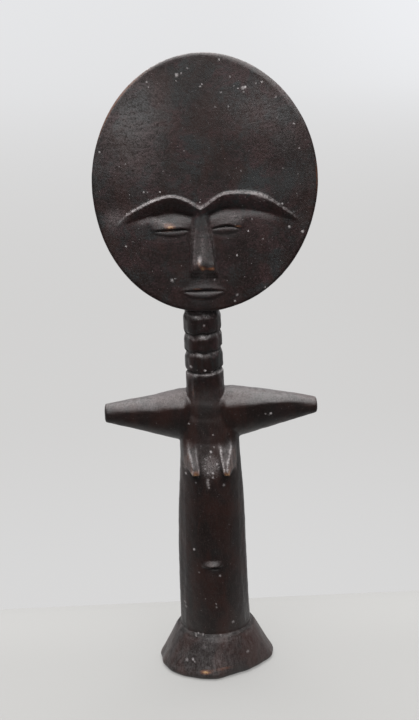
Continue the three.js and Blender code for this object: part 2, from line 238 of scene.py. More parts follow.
# Nose by place down the face: middle, half width at the face, half width of the flat front, height
NOSE = [
    (-50.4, 0.2, 7.4, 4.8, -1), (-48.9, 0.2, 7.4, 5.2, 0.4), (-47, 0.2, 7.4, 5.6, 2.6),
    (-45.2, 0.1, 7.3, 5.8, 4.4), (-43.4, 0, 7.2, 5.8, 5.4), (-41.5, -0.1, 7, 5.7, 5.4),
    (-38, -0.3, 6.8, 5.5, 4.7), (-30, -1, 6.3, 4.7, 3.2), (-24, -1.4, 5.6, 3.6, 2.4),
    (-18, -1.7, 4.8, 2.4, 1.9), (-14.5, -1.9, 3.8, 1.3, 1.5), (-12, -2.1, 2, 0.6, 0.6),
    (-10, -2.1, 0.8, 0.4, -1.5),
]


def smooth_line(points, at):
    """A smooth line through points of (place, value), read at every place in at and level past its ends."""
    places, values = np.array(points, float).T
    slopes = np.gradient(values, places)
    step = np.clip(np.searchsorted(places, at) - 1, 0, len(places) - 2)
    span = places[step + 1] - places[step]
    t = np.clip((at - places[step]) / span, 0, 1)
    near = (1 + 2 * t) * (1 - t) ** 2 * values[step] + t * (1 - t) ** 2 * span * slopes[step]
    far = t * t * (3 - 2 * t) * values[step + 1] - t * t * (1 - t) * span * slopes[step + 1]
    return near + far


def lines(table, at, *columns):
    """Smooth lines through some of a table's columns, read at those places."""
    rows = np.array(table)
    return [smooth_line(rows[:, [0, column]], at) for column in columns]


def straight(table, at, *columns):
    """Straight lines through some of a table's columns, read at those places."""
    rows = np.array(table)
    return [np.interp(at, rows[:, 0], rows[:, column]) for column in columns]


def ramp(value, start, end):
    """0 at start and before it, 1 at end and past it, and an even swing between. It may run downwards."""
    t = np.clip((value - start) / (end - start), 0, 1)
    return t * t * (3 - 2 * t)


def bell(value, middle, reach, steep=2):
    """1 at the middle, fading away over the reach on either side."""
    return np.exp(-(((value - middle) / reach) ** steep))


def marks(join, table, *axes):
    """Soft marks joined up. A row is a strength, then a middle and a reach along each of the axes."""
    total = np.zeros(len(axes[0]))
    for strength, *spans in table:
        for axis, middle, reach in zip(axes, spans[::2], spans[1::2]):
            strength = strength * bell(axis, middle, reach)
        total = join(total, strength)
    return total


def soft_union(a, b, reach):
    """The greater of two heights, with the corner between them filled over reach."""
    near = np.clip(reach - np.abs(a - b), 0, None) / reach
    return np.maximum(a, b) + near * near * reach / 4


def waves(points, size, seed):
    """Slow unevenness between about -1 and 1, with swells of that size in millimetres."""
    chance = np.random.default_rng(seed)
    total = np.zeros(len(points))
    for _ in range(9):
        way = chance.normal(size=3)
        way *= 2 * math.pi / size * chance.uniform(0.6, 1.5) / np.linalg.norm(way)
        total += np.sin(points @ way + chance.uniform(0, 2 * math.pi))
    return total / 3.2


def oval_share(u, v, sizes):
    """How far out a place on the face lies: 0 in the plate's middle and 1 at the oval's edge."""
    across, up = u + FACE_MARK[0], v + FACE_MARK[1]
    return np.hypot(across / (sizes.head_half_width / MM), up / (sizes.head_half_height / MM))


def face_level(u, v, sizes):
    """Height of the plain crowned face over the middle of the head plate."""
    return FACE_CROWN - FACE_FALL * np.minimum(oval_share(u, v, sizes), 1) ** 2


def between(value, start, end):
    """How far value has come from start to end, which are kept at least a little apart."""
    gap = end - start
    least = np.where(gap > 0, LEAST_GAP, -LEAST_GAP)
    return (value - start) / np.where(np.abs(gap) < LEAST_GAP, least, gap)


def brow_relief(u, v):
    """Brows: a steep step up from the forehead to a ridge, then a slope down into the eye socket."""
    relief = np.zeros(len(u))
    foot = np.full(len(u), -99.0)
    for side, table in BROWS.items():
        here = u < BROW_MEETING if side == "left" else u >= BROW_MEETING
        jitter = 0.12 * np.sin(u * 1.9 + 0.4) + 0.09 * np.sin(u * 4.3)
        top, ridge, low, height = lines(table, u, 1, 2, 3, 4)
        top = top + jitter
        ridge = np.minimum(ridge + jitter * 0.6, top - 0.2)
        low = np.minimum(low, ridge - 0.5)
        height = np.maximum(height, 0)
        sunk = 0.9 * ramp(u, -41, -33) * ramp(u, 42, 32)
        step = height * ramp(v, top, ridge)
        fall = np.clip((ridge - v) / (ridge - low), 0, 1)
        slope = height * (1 - fall**1.5) - sunk * fall**3
        below = -sunk * bell(v, low, 2.6)
        made = np.where(v > top, 0, np.where(v > ridge, step, np.where(v > low, slope, below)))
        relief = np.where(here, made, relief)
        foot = np.where(here, low, foot)
    return relief, foot


def lid_relief(u, v, here, table, profile, top, blunt):
    """Lids or lips: one profile drawn across, between edges that run along the face to blunt ends. Gives
    its height, how fully it reaches each place, and where that place lies on the profile."""
    edges = [top, *lines(table, u, -3, -2, -1)]
    place = between(v, edges[0], edges[1])
    for i in (1, 2):
        place = np.where(v < edges[i], i + between(v, edges[i], edges[i + 1]), place)
    place = np.where(v < edges[3], 3 + (edges[3] - v) / 2.5, place)
    start, end = table[0][0], table[-1][0]
    middle, half = (start + end) / 2, (end - start) / 2
    half = half + 4.5 * np.clip(1 - place, 0, 1)
    reach = np.clip(1 - ((u - middle) / half) ** 2, 0, 1) ** blunt
    reach *= here & (place >= 0) & (place < profile[-1][0])
    return smooth_line(profile, place), reach, place


def eye_relief(u, v, side, foot):
    """The lids of one eye, under the foot of its brow."""
    return lid_relief(u, v, v > EYES_FOOT, EYES[side], EYE_PROFILE, foot, 0.75)


def mouth_relief(u, v):
    """Both lips, below the line where the swelling round the mouth begins."""
    top, = lines(MOUTH, u, 1)
    return lid_relief(u, v, v < MOUTH_TOP, MOUTH, MOUTH_PROFILE, top, 1)


def nose_relief(u, v):
    """Nose: a flat-fronted wedge that widens and stands out downwards to a cut-off underside."""
    v = v + 1.7 * ramp(np.abs(u + 0.2), 0.5, 5.0) * ramp(v, -49, -45)
    middle, base, flat, height = lines(NOSE, v, 1, 2, 3, 4)
    across = np.abs(u - middle)
    side = np.clip((across - flat) / (base - flat), 0, 2)
    front = 1 - 0.09 * np.minimum(across / flat, 1) ** 2
    return height * front - np.maximum(height, 1.5) * side**1.5


def face_relief(u, v):
    """Height of the carved face over the plain one, in millimetres."""
    relief, foot = brow_relief(u, v)
    for side in EYES:
        made, reach = eye_relief(u, v, side, foot)[:2]
        if side == "right":
            made = np.minimum(made, made * RIGHT_EYE_RISE)
        relief += (made - relief) * reach
    made, reach = mouth_relief(u, v)[:2]
    return soft_union(relief + made * reach, nose_relief(u, v), 1.6)


def side_facets(points, middle, wide, deep, spread):
    """Planes a long facet down either side of an upright stem, spread degrees about its own middle."""
    x, y, z = points.T
    turn = np.abs(np.degrees(np.arctan2((x - middle) / wide, -y / deep)))
    away = np.minimum(np.abs(turn - FACET_TURN - 3 * np.sin(z / 17)), spread)
    keep = np.cos(np.radians(spread)) / np.cos(np.radians(away))
    points[:, 0] = middle + (x - middle) * keep
    points[:, 1] = y * keep


def enter(mode):
    """Changes to edit mode or object mode."""
    bpy.ops.object.mode_set(mode=mode)


def deselect():
    """Leaves edit mode and selects nothing."""
    if bpy.context.mode != "OBJECT":
        enter("OBJECT")
    bpy.ops.object.select_all(action="DESELECT")


def grow(name, sides, rings):
    """A closed form grown from a disc. A ring is its middle and its size along X, Y and Z in millimetres,
    and the size along which it is flat is 1."""
    deselect()
    middle, size = rings[0]
    turn = (0, math.pi / 2, 0) if size[0] == 1 else (0, 0, 0)
    bpy.ops.mesh.primitive_circle_add(vertices=sides, radius=MM, fill_type="NGON", rotation=turn)
    made = bpy.context.object
    made.name = made.data.name = name
    bpy.ops.object.transform_apply(location=False, rotation=True, scale=False)
    enter("EDIT")
    bpy.ops.mesh.select_all(action="SELECT")
    bpy.ops.transform.translate(value=Vector(middle) * MM)
    bpy.ops.transform.resize(value=size, center_override=Vector(middle) * MM)
    for (start, before), (end, after) in zip(rings, rings[1:]):
        step = (Vector(end) - Vector(start)) * MM
        bpy.ops.mesh.extrude_region_move(TRANSFORM_OT_translate={"value": step})
        ratio = [b / a for a, b in zip(before, after)]
        bpy.ops.transform.resize(value=ratio, center_override=Vector(end) * MM)
    bpy.ops.mesh.select_all(action="SELECT")
    bpy.ops.mesh.normals_make_consistent(inside=False)
    enter("OBJECT")
    return made


def pick(made):
    """Makes one object the selected and active one."""
    deselect()
    made.select_set(True)
    bpy.context.view_layer.objects.active = made


def finish_with(made, kind, **settings):
    """Adds one modifier with these settings and applies it."""
    pick(made)
    modifier = made.modifiers.new(kind.title(), kind)
    for name, value in settings.items():
        setattr(modifier, name, value)
    bpy.ops.object.modifier_apply(modifier=modifier.name)


def remesh(made, size):
    """Rebuilds the skin in even squares of this size."""
    size = size * 1
    finish_with(made, "REMESH", mode="VOXEL", voxel_size=size, use_smooth_shade=True)


def read_points(mesh):
    """The mesh's points in millimetres."""
    flat = np.empty(len(mesh.vertices) * 3)
    mesh.vertices.foreach_get("co", flat)
    return flat.reshape(-1, 3) / MM


def write_points(mesh, points):
    """Puts points in millimetres back."""
    mesh.vertices.foreach_set("co", (points * MM).ravel())
    mesh.update()


def normals_of(mesh):
    """The mesh's outward direction at every point."""
    flat = np.empty(len(mesh.vertices) * 3)
    mesh.vertex_normals.foreach_get("vector", flat)
    return flat.reshape(-1, 3)


def store(mesh, name, values):
    """Keeps one number for every point under a name that the finish reads."""
    attribute = mesh.attributes.get(name) or mesh.attributes.new(name, "FLOAT", "POINT")
    attribute.data.foreach_set("value", np.asarray(values, np.float32))


def head_place(sizes):
    """Where the head plate's own axes stand: across, up the face and out of it."""
    lean, aside = sizes.head_lean_back, sizes.head_lean_aside
    tall = sizes.head_half_height * math.cos(lean) * math.cos(aside)
    middle = (sizes.head_off_axis, sizes.head_back, sizes.height - tall - RIM_OVER)
    turned = Euler((math.pi / 2 - lean, aside, 0)).to_matrix().to_4x4()
    return Matrix.Translation(middle) @ turned


def length_prop(name, description, default):
    """A size in metres that the user can change."""
    return bpy.props.FloatProperty(name=name, description=description, default=default, unit="LENGTH")


def angle_prop(name, description, degrees):
    """A turn, given in degrees."""
    turn = math.radians(degrees)
    return bpy.props.FloatProperty(name=name, description=description, default=turn, unit="ROTATION")


def share_prop(name, description, default):
    """A number between 0 and 1."""
    return bpy.props.FloatProperty(
        name=name, description=description, default=default, min=0, max=1, subtype="FACTOR"
    )


def power_prop(name, description, default):
    """A lamp's power in watts."""
    return bpy.props.FloatProperty(name=name, description=description, default=default, unit="POWER")


def colour_prop(name, description, *default):
    """A colour."""
    return bpy.props.FloatVectorProperty(
        name=name, description=description, default=default, subtype="COLOR", size=3
    )


class AkuabaSizes(bpy.types.PropertyGroup):
    """Sizes that give the figure its build."""

    height: length_prop("Height", "Floor to the top of the head", 0.3512)
    head_half_width: length_prop("Head half width", "Half the oval's width", 0.061)
    head_half_height: length_prop("Head half height", "Half the oval's height", 0.0693)
    head_taper: share_prop("Head taper", "Share by which the oval's lower half is narrower", 0.008)
    head_lean_back: angle_prop("Head lean back", "How far the face looks up", 10)
    head_lean_aside: angle_prop("Head lean aside", "How far the head tips", 3.2)
    head_off_axis: length_prop("Head off axis", "Head's middle right of the column", 0.0044)
    head_back: length_prop("Head behind neck", "Head's middle behind the column's", 0.005)
    groove_depth: length_prop("Neck groove depth", "Depth of the neck's cuts", 0.0015)
    grain: length_prop("Skin grid", "Size of the squares in the finished skin", 0.00042)
    unevenness: length_prop("Unevenness", "How far the hand-cut surface strays", 0.00016)


class AkuabaFinish(bpy.types.PropertyGroup):
    """Colours and gloss of the stained wood, and of the highlights and shade painted into it."""

    stain_dark: colour_prop("Dark stain", "Deepest stain on the open surface", 0.0085, 0.0045, 0.0038)
    stain_light: colour_prop("Light stain", "Thin purplish stain", 0.0305, 0.0125, 0.0138)
    stain_grey: colour_prop("Grey stain", "Thin greenish stain", 0.0138, 0.0166, 0.0176)
    # The crevices' colour: dark stain and painted shade together
    deep_stain_and_shade: colour_prop("Deep stain", "Stain in the crevices", 0.0045, 0.0027, 0.0020)
    stain_red: colour_prop("Red stain", "Reddish streaks", 0.026, 0.0080, 0.0055)
    # Paler flecks, which also paint the fine glints of the waxed body
    pale_fleck_and_glint: colour_prop("Flecks", "Paler flecks on the body", 0.0295, 0.0190, 0.0170)
    bare_wood: colour_prop("Worn wood", "Wood where the stain is rubbed off", 0.40, 0.23, 0.10)
    rubbed_wood: colour_prop("Rubbed stain", "Stain worn thin beside bare wood", 0.085, 0.030, 0.014)
    # Also the colour of the painted highlights, sheen and light that the film marks carry
    dust_and_painted_light: colour_prop("Dust", "Pale dust and specks", 0.40, 0.37, 0.37)
    gloss: share_prop("Roughness", "Roughness of the waxed surface", 0.4)


class AkuabaStage(bpy.types.PropertyGroup):
    """Floor, backdrop and lamps."""

    table: colour_prop("Table", "Colour of the table top", 0.19, 0.188, 0.184)
    # Painted light: the table glows a little, which lifts the figure's shadow on it
    table_painted_light: colour_prop("Table glow", "Light let up through the table top", 0.25, 0.248, 0.243)
    backdrop_low: colour_prop("Backdrop low", "Backdrop near the table", 0.65, 0.645, 0.64)
    backdrop_high: colour_prop("Backdrop high", "Backdrop far behind", 0.79, 0.795, 0.81)
    overhead: power_prop("Overhead lamp", "Power of the big soft lamp above", 46)
    front: power_prop("Front panel", "Power of the wide soft panel in front", 6.5)
    room: share_prop("Room light", "Strength of the light all round", 0.05)


class AKUABA_OT_column(bpy.types.Operator):
    """Turns the column body and its flared foot"""

    bl_idname = "akuaba.column"
    bl_label = "Column and foot"

    def execute(self, context):
        rings = []
        for z, radius in FOOT_PROFILE:
            low = max(1 - z / FOOT_SHELF, 0)
            depth = radius * (1 - (1 - FOOT_FRONT_SHARE) * low)
            rings.append(((0, 0, z), (radius, depth, 1)))
        for z, x, wide, deep in BODY_RINGS:
            rings.append(((x, 0, z), (wide, deep, 1)))
        made = grow("column", sides=128, rings=rings)
        points = read_points(made.data)
        x, y, z = points.T
        low = np.clip(1 - z / FOOT_SHELF, 0, 1)
        turn = np.arctan2(y, x)
        worn = 1 + 0.006 * low * np.sin(7 * turn + 0.6) + 0.004 * low * np.sin(19 * turn)
        for lost, middle, reach, steep in FOOT_WORN:
            worn -= lost * low**2 * bell(np.degrees(turn), middle, reach, steep)
        points[:, :2] *= worn[:, None]
        write_points(made.data, points)
        remesh(made, BLANK_GRID)
        self.shape_body(made.data)
        return {"FINISHED"}

    def shape_body(self, mesh):
        """Brings the flat chest forward and planes the body's sides."""
        points = read_points(mesh)
        x, y, z = points.T
        middle, wide, deep = straight(BODY_RINGS, z, 1, 2, 3)
        across = np.clip(np.abs(x - middle) / wide, 0, 1)
        square = 2 + 1.5 * ramp(z, *CHEST_SQUARE)
        front = (deep + smooth_line(CHEST, z)) * (1 - across**square) ** (1 / square)
        points[:, 1] = np.where((z > CHEST[0][0]) & (y < 0), -front, y)
        spread = BODY_FACET * ramp(z, *FACET_START) * ramp(z, *FACET_END)
        side_facets(points, middle, wide, deep, spread)
        write_points(mesh, points)


class AKUABA_OT_neck(bpy.types.Operator):
    """Makes the neck, planes its sides and cuts its rings"""

    bl_idname = "akuaba.neck"
    bl_label = "Neck"

    def execute(self, context):
        sizes = context.scene.akuaba_sizes
        rings = [((0, y, z), (wide, deep, 1)) for z, y, wide, deep in NECK_RINGS]
        made = grow("neck", sides=96, rings=rings)
        remesh(made, BLANK_GRID)
        points = read_points(made.data)
        x, y, z = points.T
        turn = np.arctan2(x, -y)
        depth = sizes.groove_depth / MM
        cut = np.zeros(len(points))
        for i, height in enumerate(NECK_GROOVES):
            uneven = 0.4 * np.sin(3 * turn + 1.7 * i) + 0.35 * np.sin(8 * turn + 2.3 * i)
            uneven += 0.15 * np.sin(17 * turn + i)
            above = z - (height + GROOVE_SLANT * x + uneven)
            over = np.clip(above / GROOVE_ABOVE, 0, 1)
            wide = GROOVE_BENEATH + 0.5 * np.sin(5 * turn + 2.9 * i) + 0.4 * np.sin(11 * turn + i)
            under = np.clip(-above / wide, 0, 1)
            deep = 0.85 + 0.25 * waves(points, 8, 20 + i)
            cut = np.maximum(cut, deep * np.where(above > 0, 1 - over**0.7, 1 - under))
        cut *= (z < NECK_TOP) * depth
        radius = np.hypot(x, y)
        keep = np.where(z < NECK_TOP, (radius - cut) / np.maximum(radius, 0.1), 1)
        foot_top = NECK_FOOT[-1][0]
        square = 2 + 2.5 * ramp(z, foot_top, foot_top - 7)
        wide = np.abs(np.sin(turn)) / NECK_FOOT_HALF_WIDTH
        deep = np.abs(np.cos(turn)) / smooth_line(NECK_FOOT, z)
        outline = (wide**square + deep**square) ** (-1 / square)
        squared = np.minimum(radius / 10, 1) * outline / radius
        keep = np.where((y < 0) & (z < foot_top) & (radius > 1), squared, keep)
        points[:, :2] *= keep[:, None]
        side_facets(points, 0, 1, 1, NECK_FACET * ramp(z, 214, 210))
        write_points(made.data, points)
        return {"FINISHED"}


class AKUABA_OT_arms(bpy.types.Operator):
    """Makes the shoulder bar with its two tapering stub arms"""

    bl_idname = "akuaba.arms"
    bl_label = "Shoulders and arms"

    def execute(self, context):
        rings = [((x, 0, z), (1, deep, tall)) for x, z, deep, tall in ARM_RINGS]
        made = grow("arms", sides=72, rings=rings)
        points = read_points(made.data)
        x, y, z = points.T
        middle, deep, tall = straight(ARM_RINGS, x, 1, 2, 3)
        crease, = straight(ARM_CREASE, x, 1)
        level = np.clip((z - middle) / tall, -1, 1)
        over = np.clip((level - crease) / (1 - crease), 0, 1)
        under = np.clip((crease - level) / (1 + crease), 0, 1)
        front = np.where(level > crease, (1 - over**1.5) ** 0.55, (1 - under**2.6) ** 0.5)
        # The bar swells a little towards its middle, and stays back where the neck's foot comes down
        forward = deep + 0.7 * bell(x, 0.5, 24) - 3.0 * ramp(np.abs(x + 0.8), 12, 8)
        points[:, 1] = np.where(y < 0, -forward * front, y)
        write_points(made.data, points)
        return {"FINISHED"}


class AKUABA_OT_breasts(bpy.types.Operator):
    """Carves the two flat-fronted breasts and the small navel into the column"""

    bl_idname = "akuaba.breasts"
    bl_label = "Breasts and navel"

    def execute(self, context):
        made = bpy.data.objects["column"]
        points = read_points(made.data)
        x, y, z = points.T
        for side in BREASTS:
            cover, front = self.breast(side, x, z)
            target = y * (1 - cover) - front * cover
            y = np.where((y < 0) & (cover > 0), np.minimum(y, target), y)
        rise = smooth_line(NAVEL, x) * (np.abs(x + 0.3) < 6)
        over = np.clip((z - NAVEL_EDGE) / NAVEL_RISE, 0, 1)
        under = ramp(z, NAVEL_EDGE - 0.9, NAVEL_EDGE)
        notch = 1.2 * bell(x, 0.6, 2.6) * bell(z, NAVEL_NOTCH, 1)
        ledge = rise * np.where(z > NAVEL_EDGE, (1 - over) ** 1.3, under)
        points[:, 1] = np.where(y < -8, y - ledge + notch, y)
        write_points(made.data, points)
        return {"FINISHED"}

    def breast(self, side, x, z):
        """How far each place belongs to the breast, and how far forward its front stands there."""
        outer_foot, outer, inner, inner_foot, front = lines(BREASTS[side], z, 1, 2, 3, 4, 5)
        from_outside = (x - outer_foot) / (outer - outer_foot)
        from_inside = (x - inner_foot) / (inner - inner_foot)
        cover = np.clip(np.minimum(from_outside, from_inside), 0, 1)
        hollow = BREAST_HOLLOW * np.sin(math.pi * np.clip((x - outer) / (inner - outer), 0, 1))
        end, = straight(BREAST_ENDS[side], x, 1)
        cover = cover * ramp(z, end - 0.3, end + 0.5) * ramp(z, 143, 136)
        return cover, front - hollow


class AKUABA_OT_head(bpy.types.Operator):
    """Makes the oval head plate, carves the face into it and leans it into place"""

    bl_idname = "akuaba.head"
    bl_label = "Head and face"

    def execute(self, context):
        sizes = context.scene.akuaba_sizes
        wide, tall = sizes.head_half_width / MM, sizes.head_half_height / MM
        rings = [((0, 0, w), (wide * share, tall * share, 1)) for share, w in HEAD_RINGS]
        made = grow("head", sides=160, rings=rings)
        points = read_points(made.data)
        swell = 1 + RIM_SWELL * np.cos(3 * np.arctan2(points[:, 1] / tall, points[:, 0] / wide))
        narrow = 1 - sizes.head_taper * ramp(points[:, 1], 5, -20)
        write_points(made.data, points * np.stack((swell * narrow, swell, np.ones(len(points))), -1))
        remesh(made, sizes.grain * 1.05)
        points = read_points(made.data)
        share = np.hypot(points[:, 0] / wide, points[:, 1] / tall)
        u, v, w = (points - (*FACE_MARK, 0)).T
        # The relief reaches over the plate's front and stops just inside the rim
        front = ramp(w, 2.5, 4.5) * ramp(share, 0.97, 0.94)
        target = face_level(u, v, sizes) + face_relief(u, v)
        points[:, 2] += (target - w) * front
        worn = bell(np.degrees(np.arctan2(v, u)), *RIM_WORN) * np.clip((share - 0.955) / 0.045, 0, 1)
        points[:, 2] -= RIM_WORN_DEPTH * worn * ramp(w, 0, 4)
        write_points(made.data, points)
        made.rotation_euler = head_place(sizes).to_euler()
        made.location = head_place(sizes).translation
        pick(made)
        bpy.ops.object.transform_apply(location=True, rotation=True, scale=True)
        return {"FINISHED"}


class AKUABA_OT_join(bpy.types.Operator):
    """Joins the forms into one carving and goes over it as a hand with a knife does"""

    bl_idname = "akuaba.join"
    bl_label = "One carving"

    def execute(self, context):
        sizes = context.scene.akuaba_sizes
        deselect()
        for name in ("column", "neck", "arms", "head"):
            bpy.data.objects[name].select_set(True)
        context.view_layer.objects.active = bpy.data.objects["column"]
        bpy.ops.object.join()
        made = context.object
        made.name = made.data.name = "carved_figure"
        remesh(made, sizes.grain)
        points = read_points(made.data)
        x, y, z = points.T
        under_arms = bell(z, 139, 3) * ramp(np.abs(x - 1), 12, 16)
        round_neck = bell(z, 168, 4.5) * ramp(np.abs(x), 20, 12) * ramp(y, -9, -5)
        on_chest = bell(z, 156, 11) * ramp(np.abs(x), 17, 13) * ramp(y, -5, -7)
        fillet = np.maximum.reduce([under_arms, round_neck, on_chest])
        group = made.vertex_groups.new(name="soft")
        levels = np.round(np.clip(fillet, 0, 1) * SOFT_STEPS).astype(int)
        for level in range(1, SOFT_STEPS + 1):
            group.add(np.flatnonzero(levels == level).tolist(), level / SOFT_STEPS, "REPLACE")
        finish_with(made, "SMOOTH", factor=0.5, iterations=20, vertex_group="soft")
        points = read_points(made.data)
        out = normals_of(made.data)
        stray = waves(points * (1, 1, 0.45), 14, 3) * 0.7 + waves(points, 5, 4) * 0.3
        face = ramp(points[:, 2], 212, 222)
        amount = sizes.unevenness / MM * (1 - 0.55 * face) * ramp(points[:, 2], 0.3, 2)
        points += out * (stray * amount)[:, None]
        points[:, 2] = np.maximum(points[:, 2], 0)
        write_points(made.data, points)
        triangles = 2 * len(made.data.polygons)
        finish_with(made, "DECIMATE", ratio=min(1, MOST_TRIANGLES / triangles))
        pick(made)
        bpy.ops.object.shade_smooth()
        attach(made, "root")
        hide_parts("akuaba_figure")
        return {"FINISHED"}


def node(tree, kind, inputs=None, **settings):
    """Adds a shader node, sets it up and feeds it. An input is a value or another node's output."""
    made = tree.nodes.new(kind)
    for name, value in settings.items():
        setattr(made, name, value)
    for name, value in (inputs or {}).items():
        if isinstance(value, bpy.types.NodeSocket):
            tree.links.new(value, made.inputs[name])
        else:
            made.inputs[name].default_value = (*value, 1) if isinstance(value, Color) else value
    return made


def math_node(tree, operation, *values, clamp=False):
    """One sum on up to three values."""
    made = node(tree, "ShaderNodeMath", dict(enumerate(values)), operation=operation, use_clamp=clamp)
    return made.outputs[0]


def product(tree, first, *others):
    """The product of several values."""
    for value in others:
        first = math_node(tree, "MULTIPLY", first, value)
    return first


def blend(tree, *parts):
    """Adds patterns up, each by its own share."""
    total = 0.0
    for pattern, share in parts:
        total = math_node(tree, "MULTIPLY_ADD", pattern, share, total)
    return total


def vector_node(tree, operation, inputs):
    """One sum on vectors."""
    return node(tree, "ShaderNodeVectorMath", inputs, operation=operation).outputs[0]


def own_places(tree, unit=1):
    """The object's own coordinates in a unit of that many metres, as a whole and as X, Y and Z."""
    whole = node(tree, "ShaderNodeTexCoord").outputs["Object"]
    whole = vector_node(tree, "SCALE", {0: whole, 3: 1 / unit})
    return whole, *node(tree, "ShaderNodeSeparateXYZ", {0: whole}).outputs


def mix_colour(tree, share, under, over):
    """Lays one colour over another by a share. Inputs 6 and 7 and output 2 are the node's colours."""
    made = node(tree, "ShaderNodeMix", {0: share, 6: under, 7: over}, data_type="RGBA")
    return made.outputs[2]


def rise(tree, value, low, high, to_low=0.0, to_high=1.0):
    """Spreads low..high smoothly over to_low..to_high."""
    inputs = {0: value, 1: low, 2: high, 3: to_low, 4: to_high}
    return node(tree, "ShaderNodeMapRange", inputs, interpolation_type="SMOOTHSTEP").outputs[0]


def noise(tree, coords, scale, detail, rough, stretch=(1, 1, 1), warp=0.0):
    """Cloudy noise on millimetre coordinates, drawn out along an axis by stretch."""
    mapped = node(tree, "ShaderNodeMapping", {"Vector": coords, "Scale": stretch}).outputs[0]
    inputs = {"Vector": mapped, "Scale": scale, "Detail": detail, "Roughness": rough, "Distortion": warp}
    return node(tree, "ShaderNodeTexNoise", inputs).outputs[0]


# The stain changes a little between each two of these heights: from the foot to the body, from the body
# to the neck, and from the neck to the head
FOOT_STAIN = (20, 28)
NECK_STAIN = (150, 178)
HEAD_STAIN = (211, 217)
# Pale specks on the head: place across and up the face, half size and strength
FACE_SPECKS = [
    (-15.6, 58.4, 1, 0.6), (-13.2, 59.5, 0.6, 0.45), (-15.9, 55.2, 0.4, 0.5), (-10, 62.1, 0.7, 0.3),
    (-3, 52.6, 0.6, 0.7), (-2, 53.9, 0.5, 0.6), (21, 52.4, 0.8, 1), (19.8, 52, 1.1, 0.5),
    (20.4, 49.9, 0.6, 0.4), (17.2, 51.9, 0.5, 0.8), (15.1, 53, 0.4, 0.45), (-31.6, 54.5, 0.6, 0.7),
    (-30.6, 51.9, 0.45, 0.5), (7, 66.8, 0.55, 0.7), (12.9, 57.7, 0.5, 0.6), (8.2, 49.6, 0.5, 0.6),
    (12, 42.2, 0.55, 0.45), (5.1, 41.8, 0.6, 0.25), (26.8, 54.7, 0.7, 0.3), (29.9, 55.3, 0.6, 0.7),
    (37.6, 47.5, 0.5, 0.7), (47.5, 33.4, 0.55, 0.7), (38.3, 36.4, 0.6, 0.3), (50.5, 20.7, 0.5, 0.6),
    (42, 9.9, 0.4, 0.4), (-56.5, 17.2, 0.5, 0.7), (-42.6, 11.2, 0.45, 0.5), (-45.8, 9.6, 0.4, 0.4),
    (-11.2, 18.4, 0.4, 0.35), (-22.4, 7.6, 0.45, 0.35), (19.4, 8.1, 0.45, 0.35), (-32.6, -3.8, 0.5, 0.7),
    (-30.5, -3.8, 0.45, 0.6), (-24, -3.6, 0.6, 0.8), (-41.7, -15.4, 0.5, 0.8), (-2.4, -8.9, 0.45, 0.7),
    (41.9, -9.2, 0.55, 0.8), (25.7, -17.5, 0.45, 0.5), (46, -21.6, 0.8, 0.7), (53.2, -24, 0.85, 0.8),
    (31.8, -28.3, 0.6, 0.35), (-42.1, -33, 0.6, 0.8), (17.9, -37.1, 0.55, 0.8), (-17, -51.2, 0.9, 0.5),
    (-15.6, -50.2, 0.4, 0.5), (0.3, -57.3, 0.5, 1), (6, -50.5, 0.5, 0.5), (18.3, -58.7, 0.7, 0.5),
    (17.2, -62, 0.7, 0.5), (23.8, -24, 0.5, 1), (33.5, -54.5, 0.5, 0.5),
]
# Pale specks and chips down the figure's front: place across, height over the floor, half size and strength
BODY_SPECKS = [
    (-3.5, 211.5, 0.7, 0.45), (0.8, 206.8, 0.7, 0.45), (-8.1, 202, 0.7, 0.35), (-8.1, 191, 0.6, 0.5),
    (-7.4, 182.5, 0.8, 1), (0.3, 180.9, 0.7, 1), (4.1, 179.4, 0.7, 0.8), (35.7, 153.6, 0.7, 0.8),
    (32.9, 153.7, 0.5, 0.5), (-9.9, 150.6, 0.5, 0.6), (3.1, 143.9, 0.5, 0.5), (-3.9, 137.9, 0.4, 0.4),
    (3.3, 137.1, 0.5, 0.5), (1.5, 134.6, 0.8, 1), (0.9, 132, 0.6, 0.6), (-1.4, 130.4, 0.5, 0.5),
    (4.6, 127.8, 0.75, 1), (-2.2, 125.4, 0.5, 0.5), (5.6, 126, 0.6, 0.8), (2.1, 122.9, 0.7, 0.9),
    (-0.6, 123, 0.6, 0.8), (2, 120.5, 0.65, 0.8), (-13, 120.8, 0.75, 0.8), (-0.8, 119, 0.8, 0.5),
    (-1, 117.6, 0.9, 0.5), (-0.7, 116.2, 0.9, 0.45), (-0.5, 114.6, 0.7, 0.45), (8, 115.3, 0.8, 0.4),
    (-7.6, 117.1, 0.6, 0.4), (-10.5, 76.3, 0.75, 0.9), (-8.3, 62.6, 0.5, 0.35), (3.6, 60.5, 0.8, 0.45),
    (-17.3, 40.4, 0.7, 0.5), (-16.8, 38.3, 0.7, 0.5), (0.7, 43.2, 0.5, 0.45), (1, 41.2, 0.5, 0.45),
    (9.9, 30.3, 0.9, 0.5), (-11.7, 23.3, 0.75, 1), (-10.3, 24.1, 0.6, 0.7), (-7.7, 23.7, 0.75, 0.8),
    (-6, 23.2, 0.55, 0.5), (2.6, 23.6, 0.6, 0.4), (-14.1, 10.7, 0.8, 0.8), (-13, 9.7, 0.6, 0.6),
    (-17.6, 9.8, 1, 0.4), (17.8, 12.1, 1, 0.35),
]
